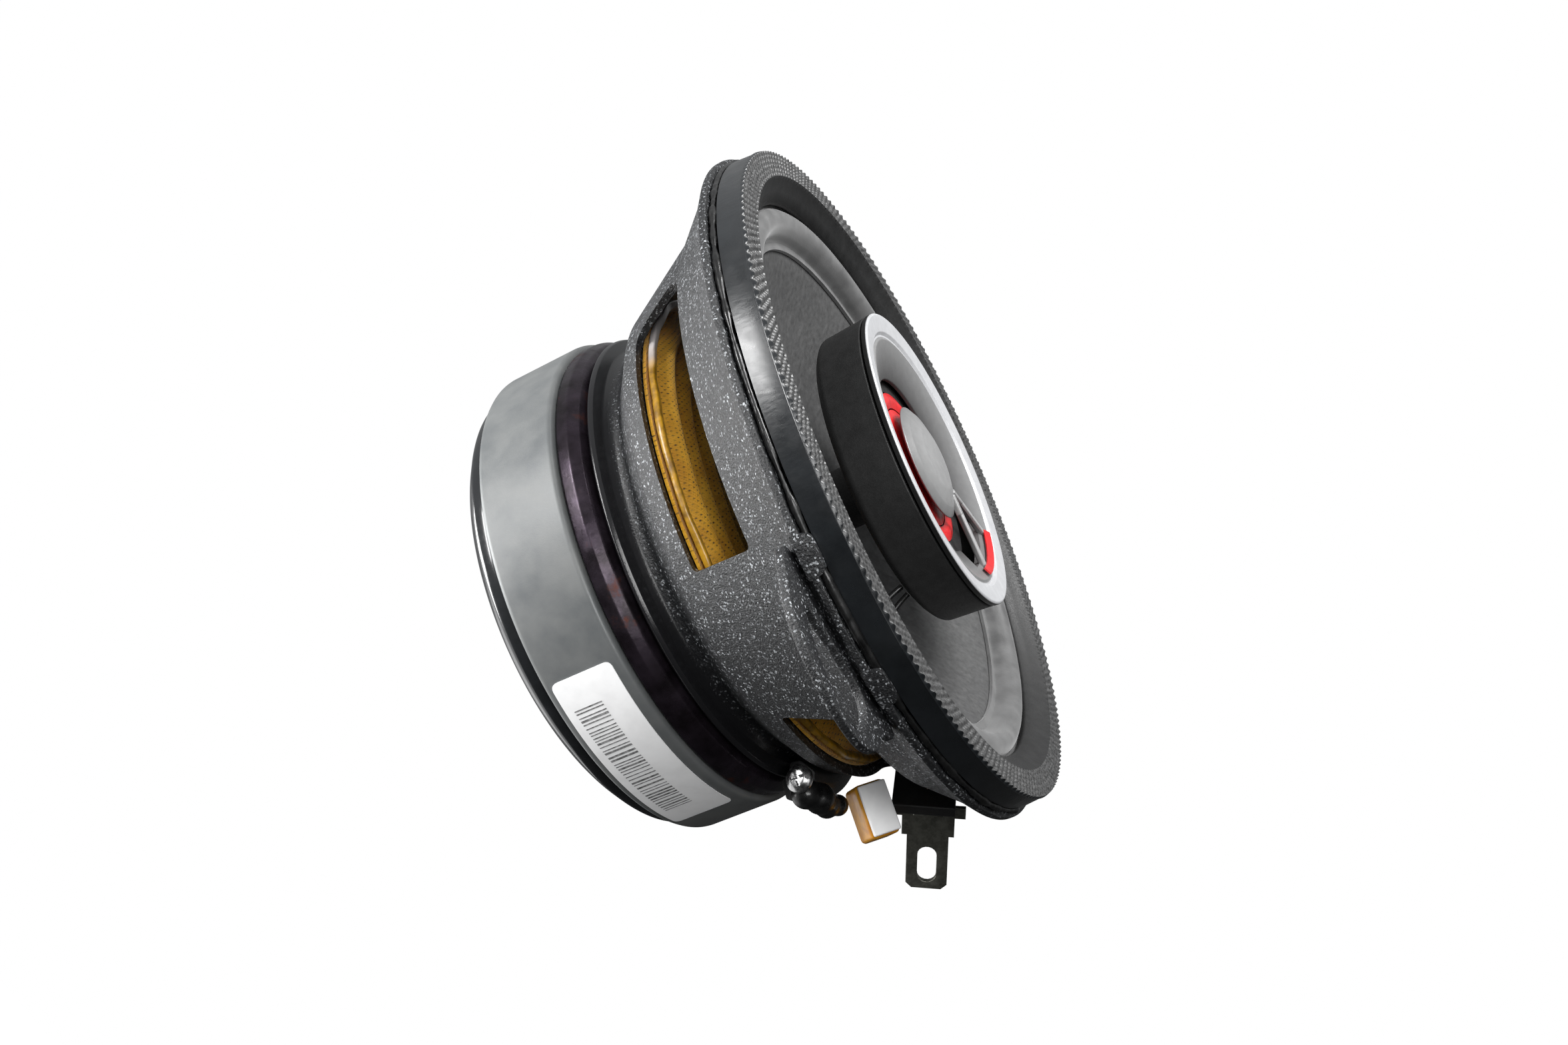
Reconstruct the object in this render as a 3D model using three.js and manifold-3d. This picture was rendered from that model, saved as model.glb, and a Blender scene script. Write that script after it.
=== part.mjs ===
// Coaxial car speaker, 100 mm (4 inch) class. Millimetres, +Z along the speaker's axis towards
// the listener. The origin is the centre of the back plate's rear face, on which it can stand.
// +X points at the terminal board, and the two mounting ears point along -Y and +Y.
import * as THREE from "three";
import { mergeVertices } from "three/addons/utils/BufferGeometryUtils.js";
import Module from "manifold-3d";

const wasm = await Module();
wasm.setup();

// ---- driving dimensions ----
const ROUND = 40; // steps round a large ring
const MIDDLE_ROUND = 36; // steps round a tweeter-sized ring
const SMALL_ROUND = 24; // steps round a small one
const GAP = 0.3; // room between pieces that rest on each other

// motor
const BACK_R = 35.8;
const BACK_T = 3.9;
const POLE_R = 11.9;
const MAGNET_R = 37.5;
const MAGNET_BORE_R = 19;
const MAGNET_Z = [BACK_T + GAP, 16.4];
const TOP_R = 36.7;
const TOP_BORE_R = 14.1;
const TOP_Z = [MAGNET_Z[1] + GAP, 20.7];
const STUD_HOLE_R = 2.3;
const STUD_HOLE_Z = 8;

// basket: a stamped steel bowl with four windows and two ears
const SHEET = 1.1;
const BASE_Z = TOP_Z[1] + GAP;
const NECK_R = 32.6;
const LANDING_Z = 31.0;
const WINDOW_Z = [31.3, 41.2];
const WINDOW_HALF_ANGLE = 28;
const WINDOWS = [45, 135, 225, 315];
const FLANGE_R = 51.3;
const FLANGE_Z = 49.6;
const FLANGE_INNER_R = 43.3;
const EAR_Z = [46.5, 47.6];
const EAR_ANGLES = [-90, 90];
const LOBE_OFFSETS = [-13.5, 7]; // degrees from an ear's middle
const FOOT_R = 35.8;
const RIVET_ANGLES = [0, 90, 180, 270];
const RIVET_R = 23;
const RIVET_HOLE_R = 1.9;

// moving parts
const FORMER_R = [12.3, 12.6];
const FORMER_Z = [14.5, 37.2];
const WINDING_R = [12.7, 13.3];
const WINDING_Z = [15.6, 21.6];
const CONE_T = 0.5;
const SPIDER_T = 0.5;
const SURROUND_T = 0.5;

// front ring
const GASKET_R = 50.0;
const GASKET_INNER_R = 46.2;
const GASKET_Z = [50.8, 54.65];

// tweeter, on a post that screws into the pole
const POST_R = 4.6;
const HOUSING_R = 22.8;
const HOUSING_Z = [49.2, 57.0];
const HOUSING_WALL = 1.5;
const RIM_Z = 58.2;
const PLUG_R = 8.9;
const PLUG_Z = 55.9;
const BAR_ANGLE = 7; // middle of the two bars that hold the phase plug
const BAR_SPREAD = [5, 17]; // degrees from the middle, at the plug and at the rim
const BAR_WIDTH = 0.9;
const BEZEL_OPENING = [-20, 34]; // degrees, where the flare is cut away under the bars

// terminals: a flat board against the strut at +X, tilted like the strut's wall
const STRUT_TILT = 28;
const BOARD_FOOT = [40.8, 0, 34.6];
const BOARD_T = 1.6;
const TAB_Y = 14.7;
const TAB_RISE = 2.3;
const TAB_T = 0.8;
const TAB_NECK = [3.0, 4.9, 8.3]; // where the foot, the shoulder and the blade start

// ---- helpers ----
const rad = (deg) => (deg * Math.PI) / 180;
const polar = (r, deg, z = 0) =>
  new THREE.Vector3(r * Math.cos(rad(deg)), r * Math.sin(rad(deg)), z);

// A closed geometry as a manifold solid with its faces pointing out.
function solid(geometry) {
  const bare = geometry.index ? geometry.toNonIndexed() : geometry.clone();
  bare.deleteAttribute("normal");
  bare.deleteAttribute("uv");
  const merged = mergeVertices(bare, 1e-4);
  const index = merged.index.array;
  const keep = [];
  for (let i = 0; i < index.length; i += 3) {
    const [a, b, c] = [index[i], index[i + 1], index[i + 2]];
    if (a !== b && b !== c && c !== a) keep.push(a, b, c);
  }
  const make = (triVerts) =>
    new wasm.Manifold(
      new wasm.Mesh({
        numProp: 3,
        vertProperties: new Float32Array(merged.attributes.position.array),
        triVerts: new Uint32Array(triVerts),
      }),
    );
  const made = make(keep);
  if (made.volume() > 0) return made;
  for (let i = 0; i < keep.length; i += 3) [keep[i + 1], keep[i + 2]] = [keep[i + 2], keep[i + 1]];
  return make(keep);
}

function geometryOf(body) {
  const mesh = body.getMesh();
  const stride = mesh.numProp;
  const position = new Float32Array(mesh.numVert * 3);
  for (let i = 0; i < mesh.numVert; i++) {
    position.set(mesh.vertProperties.subarray(i * stride, i * stride + 3), i * 3);
  }
  const geometry = new THREE.BufferGeometry();
  geometry.setAttribute("position", new THREE.BufferAttribute(position, 3));
  geometry.setIndex(new THREE.BufferAttribute(new Uint32Array(mesh.triVerts), 1));
  geometry.computeVertexNormals();
  return geometry;
}

// A closed (radius, height) outline turned round Z.
function turned(outline, steps = ROUND) {
  const points = outline.map(([r, z]) => new THREE.Vector2(r, z));
  points.push(points[0].clone());
  return solid(new THREE.LatheGeometry(points, steps).rotateX(Math.PI / 2));
}

// A solid of revolution whose outline runs from the axis to the axis.
function turnedSolid(outline, steps = ROUND) {
  const points = outline.map(([r, z]) => new THREE.Vector2(r, z));
  return solid(new THREE.LatheGeometry(points, steps).rotateX(Math.PI / 2));
}

const tube = (r0, r1, z0, z1, steps = ROUND) =>
  turned([[r0, z0], [r1, z0], [r1, z1], [r0, z1]], steps);

// A thin ring with the given middle line, thickened along Z.
const skin = (line, thickness, steps = ROUND) =>
  turned([...line, ...line.map(([r, z]) => [r, z + thickness]).reverse()], steps);

function placed(geometry, position, turn = [0, 0, 0]) {
  geometry.applyMatrix4(
    new THREE.Matrix4().compose(
      new THREE.Vector3(...position),
      new THREE.Quaternion().setFromEuler(new THREE.Euler(...turn)),
      new THREE.Vector3(1, 1, 1),
    ),
  );
  return geometry;
}

const box = (size, centre, turn) => solid(placed(new THREE.BoxGeometry(...size), centre, turn));

// A flat outline of [x, y] points, raised from z0 to z1.
function slab(points, z0, z1, holes = []) {
  const shape = new THREE.Shape(points.map(([x, y]) => new THREE.Vector2(x, y)));
  holes.forEach((hole) => shape.holes.push(new THREE.Path(hole.map(([x, y]) => new THREE.Vector2(x, y)))));
  const geometry = new THREE.ExtrudeGeometry(shape, { depth: z1 - z0, bevelEnabled: false });
  return geometry.translate(0, 0, z0);
}

// Corners of an outline rounded by a smooth closed curve through the points.
const smooth = (points, count) =>
  new THREE.CatmullRomCurve3(points.map(([x, y]) => new THREE.Vector3(x, y, 0)), true, "catmullrom", 0.5)
    .getSpacedPoints(count)
    .slice(0, -1)
    .map((p) => [p.x, p.y]);

// A wedge of a flat ring between two angles, raised from z0 to z1.
function wedge(r0, r1, a0, a1, z0, z1, steps = 10) {
  const arc = (r, from, to) =>
    Array.from({ length: steps + 1 }, (_, i) => {
      const p = polar(r, from + ((to - from) * i) / steps);
      return [p.x, p.y];
    });
  return solid(slab([...arc(r0, a0, a1), ...arc(r1, a1, a0)], z0, z1));
}

const spun = (body, deg) => body.rotate([0, 0, deg]);
const joined = (bodies) => bodies.reduce((a, b) => a.add(b));
const cut = (body, tools) => tools.reduce((a, b) => a.subtract(b), body);

// A round lead along a smooth curve through its points.
function lead(points, diameter, steps, sides = 6) {
  const ring = Array.from({ length: sides }, (_, i) => {
    const p = polar(diameter / 2, (360 * i) / sides);
    return new THREE.Vector2(p.x, p.y);
  });
  const path = new THREE.CatmullRomCurve3(points);
  return solid(new THREE.ExtrudeGeometry(new THREE.Shape(ring), { steps, extrudePath: path, bevelEnabled: false }));
}

const model = new THREE.Group();
const MATERIALS = {
  paint: { color: 0x2b2d30, roughness: 0.85, metalness: 0.2 },
  gloss: { color: 0x101113, roughness: 0.25, metalness: 0.3 },
  ferrite: { color: 0x9a9c9d, roughness: 0.45, metalness: 0.3 },
  oxide: { color: 0x3a3138, roughness: 0.4, metalness: 0.6 },
  steel: { color: 0x8d8f92, roughness: 0.35, metalness: 0.9 },
  gasket: { color: 0x1b1e21, roughness: 0.35, metalness: 0.0 },
  rubber: { color: 0x3b3d3f, roughness: 0.6, metalness: 0.0 },
  pulp: { color: 0x36383a, roughness: 0.8, metalness: 0.0 },
  amber: { color: 0xb67a12, roughness: 0.8, metalness: 0.0 },
  glue: { color: 0xe6e5e0, roughness: 0.5, metalness: 0.0 },
  copper: { color: 0xa8592c, roughness: 0.4, metalness: 0.8 },
  kapton: { color: 0x6b4a22, roughness: 0.5, metalness: 0.0 },
  black: { color: 0x17181a, roughness: 0.6, metalness: 0.0 },
  satin: { color: 0xa5a6a9, roughness: 0.4, metalness: 0.2 },
  red: { color: 0xc81a18, roughness: 0.45, metalness: 0.0 },
  brass: { color: 0x4b4a41, roughness: 0.45, metalness: 0.8 },
  braid: { color: 0xc9a58b, roughness: 0.5, metalness: 0.6 },
  orange: { color: 0xd98a14, roughness: 0.5, metalness: 0.0 },
  white: { color: 0xf0f0ee, roughness: 0.6, metalness: 0.0 },
};

function add(name, body, material) {
  const mesh = new THREE.Mesh(geometryOf(body), new THREE.MeshStandardMaterial(MATERIALS[material]));
  mesh.name = name;
  model.add(mesh);
}

// ---- motor ----
function makeMotor() {
  const yoke = turnedSolid([
    [0, 0], [33.6, 0], [BACK_R - 0.6, 1], [BACK_R, 2.2], [BACK_R, BACK_T - 0.6], [BACK_R - 0.6, BACK_T],
    [POLE_R, BACK_T],
    [POLE_R, TOP_Z[1]], [STUD_HOLE_R, TOP_Z[1]], [STUD_HOLE_R, STUD_HOLE_Z], [0, STUD_HOLE_Z],
  ]);
  add("t_yoke", yoke, "gloss");
  add("ferrite_magnet", tube(MAGNET_BORE_R, MAGNET_R, ...MAGNET_Z), "ferrite");
  const plate = turned([
    [TOP_BORE_R, TOP_Z[0]], [TOP_R, TOP_Z[0]], [TOP_R, TOP_Z[1] - 2.4], [TOP_R - 0.6, TOP_Z[1] - 1.1],
    [TOP_R - 1.8, TOP_Z[1] - 0.2], [TOP_R - 2.6, TOP_Z[1]], [TOP_BORE_R, TOP_Z[1]],
  ]);
  add("top_plate", cut(plate, rivetHoles(TOP_Z[1] - 2.6, TOP_Z[1] + 1)), "oxide");
  add("magnet_label", wedge(MAGNET_R + GAP, MAGNET_R + GAP + 0.2, -98, -48.5, 5.4, 14.8, 16), "white");
}

function rivetHoles(z0, z1) {
  return RIVET_ANGLES.map((deg) => {
    const p = polar(RIVET_R, deg);
    return turnedSolid([[0, z0], [RIVET_HOLE_R, z0], [RIVET_HOLE_R, z1], [0, z1]], 12).translate([p.x, p.y, 0]);
  });
}

// ---- basket ----
const EAR_OUTLINE = [
  [48.2, -12.6], [55.6, -11.6], [59.4, -7.6], [61.2, -2], [61.4, 3], [60.2, 7.4], [57.2, 10.4], [52.6, 11.4], [48.2, 12.2],
];
const EAR_SLOT = [
  [53.4, -7.6], [57.0, -4.6], [59.8, 1.6], [59.4, 5.6], [56.2, 7.3], [52.4, 6.4], [51.4, 3], [52.0, -2.2],
];

function makeBasket() {
  const bowl = turned([
    [15.5, BASE_Z], [FOOT_R - 0.5, BASE_Z], [FOOT_R, 21.4], [FOOT_R - 0.3, 22.0], [33.8, 22.5], [NECK_R + 0.2, 23.3],
    [NECK_R, 24.3], [34.4, 26.0], [37.4, 28.3], [38.8, 30.9],
    [44.3, 41.2], [48.9, 46.6], [FLANGE_R, 48.7], [FLANGE_R, FLANGE_Z], [FLANGE_INNER_R, FLANGE_Z],
    [FLANGE_INNER_R, FLANGE_Z - SHEET], [48.2, 48.4], [43.4, 41.9], [37.7, LANDING_Z], [34.9, LANDING_Z],
    [34.9, 30.0], [36.6, 29.9], [33.6, 27.0], [31.5, 24.4], [31.1, BASE_Z + SHEET], [15.5, BASE_Z + SHEET],
  ]);
  const windows = WINDOWS.map((deg) =>
    wedge(33, 56, deg - WINDOW_HALF_ANGLE, deg + WINDOW_HALF_ANGLE, ...WINDOW_Z),
  );
  const ear = solid(slab(smooth(EAR_OUTLINE, 20), ...EAR_Z, [smooth(EAR_SLOT, 14)]));
  const lobe = (offset) => spun(box([0.9, 5.4, 2.6], [FLANGE_R - 0.25, 0, 49.6]), offset);
  const ears = EAR_ANGLES.flatMap((deg) =>
    [ear, ...LOBE_OFFSETS.map(lobe)].map((piece) => spun(piece, deg)),
  );
  const body = joined([cut(bowl, windows), ...ears]);
  add("basket", cut(body, rivetHoles(BASE_Z - 1, BASE_Z + SHEET + 0.8)), "paint");
  RIVET_ANGLES.forEach((deg, i) => {
    const floor = BASE_Z + SHEET + GAP;
    const rivet = turnedSolid(
      [[0, TOP_Z[1] - 2], [1.6, TOP_Z[1] - 2], [1.6, floor], [2.8, floor], [2.4, floor + 0.9], [0, floor + 1.2]], 12,
    );
    const p = polar(RIVET_R, deg);
    add(`basket_rivet_${i + 1}`, rivet.translate([p.x, p.y, 0]), "steel");
  });
}

// ---- cone, suspension and coil ----
const CONE_LINE = [[13.0, 35.9], [15.0, 36.4], [22.0, 39.0], [30.0, 43.2], [36.8, 47.5], [38.6, 47.6]];
const SPIDER_LINE = [
  [37.3, 31.3], [35.4, 31.4], [33.6, 33.6], [31.5, 31.6], [29.4, 33.5], [27.3, 31.6], [25.2, 33.5], [23.1, 31.6],
  [21.0, 33.5], [18.9, 31.7], [16.8, 33.2], [13.1, 33.2],
];
const SURROUND_LINE = [
  [37.4, 48.4], [38.9, 48.5], [39.6, 50.2], [40.4, 51.3], [41.4, 51.5], [42.3, 50.9], [43.2, 49.9], [47.4, 49.9],
];

function makeMovingParts() {
  add("voice_coil_former", tube(...FORMER_R, ...FORMER_Z, MIDDLE_ROUND), "kapton");
  add("voice_coil_winding", tube(...WINDING_R, ...WINDING_Z, MIDDLE_ROUND), "copper");
  add("cone", skin(CONE_LINE, CONE_T), "pulp");
  add("surround", skin(SURROUND_LINE, SURROUND_T), "rubber");
  add("spider", skin(SPIDER_LINE, SPIDER_T, MIDDLE_ROUND), "amber");
  add("spider_adhesive", turned([[35.9, 32.2], [37.5, 32.2], [37.5, 33.2]], MIDDLE_ROUND), "glue");
}

// ---- front ring ----
function makeGasket() {
  const ring = turned([
    [GASKET_R + 0.4, GASKET_Z[0]], [GASKET_R, GASKET_Z[1]], [GASKET_INNER_R, GASKET_Z[1]], [43.2, 51.7],
    [43.6, GASKET_Z[0]],
  ]);
  add("gasket_ring", ring, "gasket");
}

// ---- tweeter ----
function makeTweeter() {
  const floor = HOUSING_Z[0] + 1.7;
  const post = turnedSolid([
    [0, STUD_HOLE_Z + 1], [1.9, STUD_HOLE_Z + 1], [1.9, BASE_Z], [7.0, BASE_Z], [7.0, BASE_Z + 2], [POST_R, BASE_Z + 3.5],
    [POST_R, HOUSING_Z[0] - GAP], [2.4, HOUSING_Z[0] - GAP], [2.4, floor], [0, floor],
  ], SMALL_ROUND);
  add("tweeter_post", post, "black");
  const housing = turned([
    [2.8, HOUSING_Z[0]], [21.0, HOUSING_Z[0]], [22.4, 50.2], [HOUSING_R, HOUSING_Z[1]],
    [HOUSING_R - HOUSING_WALL, HOUSING_Z[1]], [HOUSING_R - HOUSING_WALL - 0.3, floor], [2.8, floor],
  ], MIDDLE_ROUND);
  add("tweeter_housing", housing, "black");
  add("tweeter_cup", turnedSolid([
    [0, floor + GAP], [10.6, floor + GAP], [10.6, 54.0], [9.7, 54.0], [9.7, 52.2], [0, 52.2],
  ], SMALL_ROUND), "steel");
  add("tweeter_magnet", turnedSolid([[0, 52.4], [8.0, 52.4], [8.0, 53.2], [0, 53.2]], SMALL_ROUND), "steel");
  add("tweeter_pole_plate", turnedSolid([[0, 53.4], [8.2, 53.4], [8.2, 53.9], [0, 53.9]], SMALL_ROUND), "steel");
  add("tweeter_coil", tube(8.6, 9.2, 52.7, 54.0, SMALL_ROUND), "copper");
  add("tweeter_diaphragm", turnedSolid([
    [0, 55.1], [4.5, 54.9], [8.0, 54.35], [9.2, 54.15], [9.2, 54.4], [8.2, 54.65], [4.7, 55.15], [0, 55.35],
  ], SMALL_ROUND), "red");
  add("tweeter_suspension", skin([[9.5, 54.2], [10.6, 54.6], [11.7, 54.3]], 0.25, SMALL_ROUND), "red");
  add("tweeter_clamp_ring", tube(12.0, 15.5, 53.4, 54.3, SMALL_ROUND), "black");
  makeBezel();
}

// The light rim, the flare, the phase plug and the two bars that carry it, in one moulding.
function makeBezel() {
  const ring = turned([
    [22.9, HOUSING_Z[1] + GAP], [22.9, 58.0], [22.6, RIM_Z], [19.9, 57.8], [19.3, 57.6], [13.6, 55.4],
    [13.6, 54.9], [14.4, 54.7], [20.6, HOUSING_Z[1] + GAP],
  ], MIDDLE_ROUND);
  const plug = turnedSolid([
    [0, PLUG_Z], [PLUG_R - 0.6, PLUG_Z], [PLUG_R, 56.2], [7.4, 57.0], [4.8, 57.7], [2.0, 58.0], [0, 58.1],
  ], SMALL_ROUND);
  const bars = [-1, 1].map((side) => {
    const from = polar(6.6, BAR_ANGLE + side * BAR_SPREAD[0]);
    const to = polar(19.6, BAR_ANGLE + side * BAR_SPREAD[1]);
    const length = from.distanceTo(to);
    const middle = from.clone().add(to).multiplyScalar(0.5);
    const heading = Math.atan2(to.y - from.y, to.x - from.x);
    return box([length, BAR_WIDTH, 1.0], [middle.x, middle.y, 57.0], [0, 0, heading]);
  });
  const opening = wedge(12, 16.8, ...BEZEL_OPENING, 54, 59);
  add("tweeter_bezel", joined([cut(ring, [opening]), plug, ...bars]), "satin");
  const accent = turned([[17.4, 57.5], [18.6, 58.0], [18.6, 58.3], [17.4, 57.8]], 96);
  add("accent_inlay", accent.intersect(wedge(15, 21, BAR_ANGLE - 25, BAR_ANGLE + 17, 55, 60)), "red");
}

// ---- terminals, crossover capacitor and leads ----
// Board frame: x out of the board, y along it, z up the strut.
function onBoard(body) {
  return body.rotate([0, STRUT_TILT, 0]).translate(BOARD_FOOT);
}

function tabOutline(width, length) {
  const half = width / 2;
  const [foot, shoulder, blade] = TAB_NECK;
  const end = blade + length;
  const side = [
    [foot, half + 2.4], [shoulder, half + 2.4], [shoulder, half + 0.8], [blade, half + 0.8], [blade, half],
    [end - 0.9, half], [end, half - 0.9],
  ];
  return [...side.map(([x, y]) => [x, -y]), ...side.reverse()];
}

function slotHole(centre, length, width) {
  const turn = (x, from) =>
    Array.from({ length: 7 }, (_, i) => {
      const a = rad(from + 30 * i);
      return [x + (Math.cos(a) * width) / 2, (Math.sin(a) * width) / 2];
    });
  const reach = (length - width) / 2;
  return [...turn(centre + reach, -90), ...turn(centre - reach, 90)];
}

function makeTab(name, width, length, y) {
  const hole = slotHole(TAB_NECK[2] + length * 0.54, length * 0.66, width * 0.46);
  const flat = solid(slab(tabOutline(width, length), -TAB_T / 2, TAB_T / 2, [hole]));
  const upright = flat.rotate([90, 0, 0]).translate([0, y, TAB_RISE]);
  const foot = box([0.8, 5, width * 0.7], [TAB_NECK[0], y, TAB_RISE]);
  add(name, onBoard(upright.add(foot)), "brass");
}

function makeTerminals() {
  const board = box([BOARD_T, 37, 9.4], [0.7 + BOARD_T / 2, 0, 1.6]);
  const rivetHolesInBoard = [-1, 1].map((side) =>
    turnedSolid([[0, -3], [1.7, -3], [1.7, 5], [0, 5]], 12).rotate([0, 90, 0]).translate([0, side * 5, 1.6]),
  );
  add("terminal_board", onBoard(cut(board, rivetHolesInBoard)), "black");
  [-1, 1].forEach((side, i) => {
    const rivet = turnedSolid(
      [[0, 0.9], [1.4, 0.9], [1.4, 2.6], [2.6, 2.6], [2.2, 3.4], [0, 3.6]], 12,
    );
    add(`board_rivet_${i + 1}`, onBoard(rivet.rotate([0, 90, 0]).translate([0, side * 5, 1.6])), "steel");
  });
  makeTab("terminal_positive", 6.3, 9.7, -TAB_Y);
  makeTab("terminal_negative", 4.8, 8.2, TAB_Y);
}

// A moulded clip that hugs the basket's neck, with the clamp screw in its end lug.
function makeCrossover() {
  const profile = [
    [36.3, 21.4], [39.2, 21.4], [40.2, 22.8], [39.8, 24.4], [38.2, 26.4], [37.0, 26.8], [34.6, 25.0], [34.4, 23.4],
    [36.3, 22.5],
  ];
  const clip = turned(profile, 96).intersect(wedge(30, 45, -44, 10, 15, 33));
  add("crossover_clip", clip, "black");
  const at = polar(38.2, -46.2, 25.4);
  const screw = turnedSolid(
    [[0, 0], [1.1, 0], [1.1, 1.2], [2.0, 1.2], [2.0, 2.0], [1.2, 2.6], [0, 2.7]], 16,
  );
  add("clip_screw", screw.rotate([90, 0, -46.2]).translate([at.x, at.y, at.z]), "steel");
  const seat = polar(43.9, -29.3, 29.5);
  const turn = [-35, 0, -33];
  const local = (size, offset) => box(size, offset).rotate(turn).translate([seat.x, seat.y, seat.z]);
  add("crossover_capacitor", local([8.0, 6.5, 4.6], [0, 0, 0]), "orange");
  add("capacitor_pad", local([7.4, 0.8, 4.2], [0, -3.95, 0]), "white");
}

// Leads that both ends hold: voice coil to board, and tweeter to cone.
const CONE_LEAD = [[44.3, 19.2, 36.6], [41.0, 20.6, 36.9], [36.5, 21, 37.0], [31.0, 19.5, 36.4], [26.0, 17, 36.8], [22.8, 14, 38.1]];
const TWEETER_LEAD = [[20.0, 12, 48.7], [21.5, 14, 46.2], [24.5, 15, 43.4], [27.5, 16, 43.2]];

function makeLeads() {
  [-1, 1].forEach((side, i) => {
    const route = (line) => line.map(([r, deg, z]) => polar(r, side * deg, z));
    add(`tinsel_lead_${i + 1}`, lead(route(CONE_LEAD), 0.9, 14), "braid");
  });
  [-1, 1].forEach((side, i) => {
    const line = TWEETER_LEAD.map(([r, deg, z]) => polar(r, -60 + side * deg * 0.25, z));
    add(`tweeter_lead_${i + 1}`, lead(line, 0.8, 8), "black");
  });
}

makeMotor();
makeBasket();
makeMovingParts();
makeGasket();
makeTweeter();
makeTerminals();
makeCrossover();
makeLeads();

export default model;
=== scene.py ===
import math
import random

import bmesh
import bpy
from mathutils import Matrix, Vector, noise


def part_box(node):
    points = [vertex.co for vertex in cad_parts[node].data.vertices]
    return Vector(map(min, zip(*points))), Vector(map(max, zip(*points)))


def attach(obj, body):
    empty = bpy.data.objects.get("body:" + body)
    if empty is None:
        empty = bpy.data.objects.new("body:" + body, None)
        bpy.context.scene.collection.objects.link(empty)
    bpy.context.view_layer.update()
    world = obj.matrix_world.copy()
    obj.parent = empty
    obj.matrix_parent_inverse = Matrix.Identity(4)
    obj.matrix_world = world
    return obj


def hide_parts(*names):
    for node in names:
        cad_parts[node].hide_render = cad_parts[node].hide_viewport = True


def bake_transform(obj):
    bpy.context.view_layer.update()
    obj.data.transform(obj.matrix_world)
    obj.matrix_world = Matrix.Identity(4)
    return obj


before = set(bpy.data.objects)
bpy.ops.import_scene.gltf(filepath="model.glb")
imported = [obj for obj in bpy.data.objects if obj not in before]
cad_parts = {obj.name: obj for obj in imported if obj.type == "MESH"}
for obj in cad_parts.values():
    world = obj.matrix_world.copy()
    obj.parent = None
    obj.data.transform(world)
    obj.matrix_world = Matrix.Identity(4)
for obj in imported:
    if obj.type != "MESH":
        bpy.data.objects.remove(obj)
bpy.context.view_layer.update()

# Coaxial car speaker, 100 mm class. Everything here is written in millimetres and turned into
# metres when a mesh is made. Angles are degrees round +Z from +X.
MM = 0.001
FINE = 288  # steps round a large ring
MEDIUM = 144  # steps round a tweeter-sized ring
SMALL = 72  # steps round a small one


def low(node):
    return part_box(node)[0] / MM


def high(node):
    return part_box(node)[1] / MM


# ---- driving dimensions, from the frame ----
BACK_R = high("t_yoke").x
MAGNET_R = high("ferrite_magnet").x
MAGNET_Z = (low("ferrite_magnet").z, high("ferrite_magnet").z)
TOP_R = high("top_plate").x
TOP_Z = (low("top_plate").z, high("top_plate").z)
GASKET_Z = (low("gasket_ring").z, high("gasket_ring").z)
HOUSING_R = high("tweeter_housing").x
HOUSING_Z = (low("tweeter_housing").z, high("tweeter_housing").z)
RIM_Z = 58.2
WINDOW_Z = (31.3, 41.2)
WINDOW_HALF = 28  # degrees, half of a window's width
EAR_ANGLES = (-90, 90)
LOBE_OFFSETS = (-13.5, 7)  # degrees from an ear's middle
RIVET_ANGLES = (0, 90, 180, 270)
RIVET_CIRCLE = 23
BAR_ANGLE = 7  # middle of the two bars that hold the phase plug
BAR_SPREAD = (5, 17)  # degrees from that middle, at the plug and at the rim
BAR_WIDTH = 0.9
BEZEL_OPENING = (-20, 34)  # degrees, where the flare is cut away under the bars
PLUG_R = 8.9
ACCENT_ANGLES = (BAR_ANGLE - 25, BAR_ANGLE + 17)
# The terminal board's own frame: its X runs outwards and leans 28 degrees to the back.
BOARD = Matrix.Translation((40.8, 0, 34.6)) @ Matrix.Rotation(math.radians(28), 4, "Y")
TAB_Y = 14.7  # each blade's distance from the board's middle
TAB_RISE = 2.3  # and its height over the board's X axis


# ---- outlines ----
def polar(r, deg, z=0.0):
    return Vector((r * math.cos(math.radians(deg)), r * math.sin(math.radians(deg)), z))


def rounded(points, radius=0.3, turns=4):
    """A closed outline with its corners rounded. A point's third number is its own radius."""
    made = []
    for i, point in enumerate(points):
        here = Vector(point[:2])
        size = point[2] if len(point) > 2 else radius
        a = Vector(points[i - 1][:2]) - here
        b = Vector(points[(i + 1) % len(points)][:2]) - here
        angle = a.angle(b)
        if size <= 0 or angle > 3.1:
            made.append(tuple(here))
            continue
        reach = min(size / math.tan(angle / 2), 0.48 * a.length, 0.48 * b.length)
        p, q = here + a.normalized() * reach, here + b.normalized() * reach
        for k in range(turns + 1):
            t = k / turns
            made.append(tuple(p * (1 - t) ** 2 + here * (2 * t * (1 - t)) + q * t * t))
    return made


def spline(points, per=6, closed=False):
    """A smooth line through the points, which may be 2-D or 3-D."""
    points = [Vector(p) for p in points]
    n = len(points)
    made = []
    for i in range(n if closed else n - 1):
        if closed:
            a, b, c, d = (points[(i + k - 1) % n] for k in range(4))
        else:
            a, b, c, d = points[max(i - 1, 0)], points[i], points[i + 1], points[min(i + 2, n - 1)]
        for k in range(per):
            t = k / per
            made.append(
                0.5 * ((2 * b) + (c - a) * t + (2 * a - 5 * b + 4 * c - d) * t * t
                       + (3 * b - a - 3 * c + d) * t ** 3)
            )
    if not closed:
        made.append(points[-1])
    return [tuple(p) for p in made]


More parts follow.
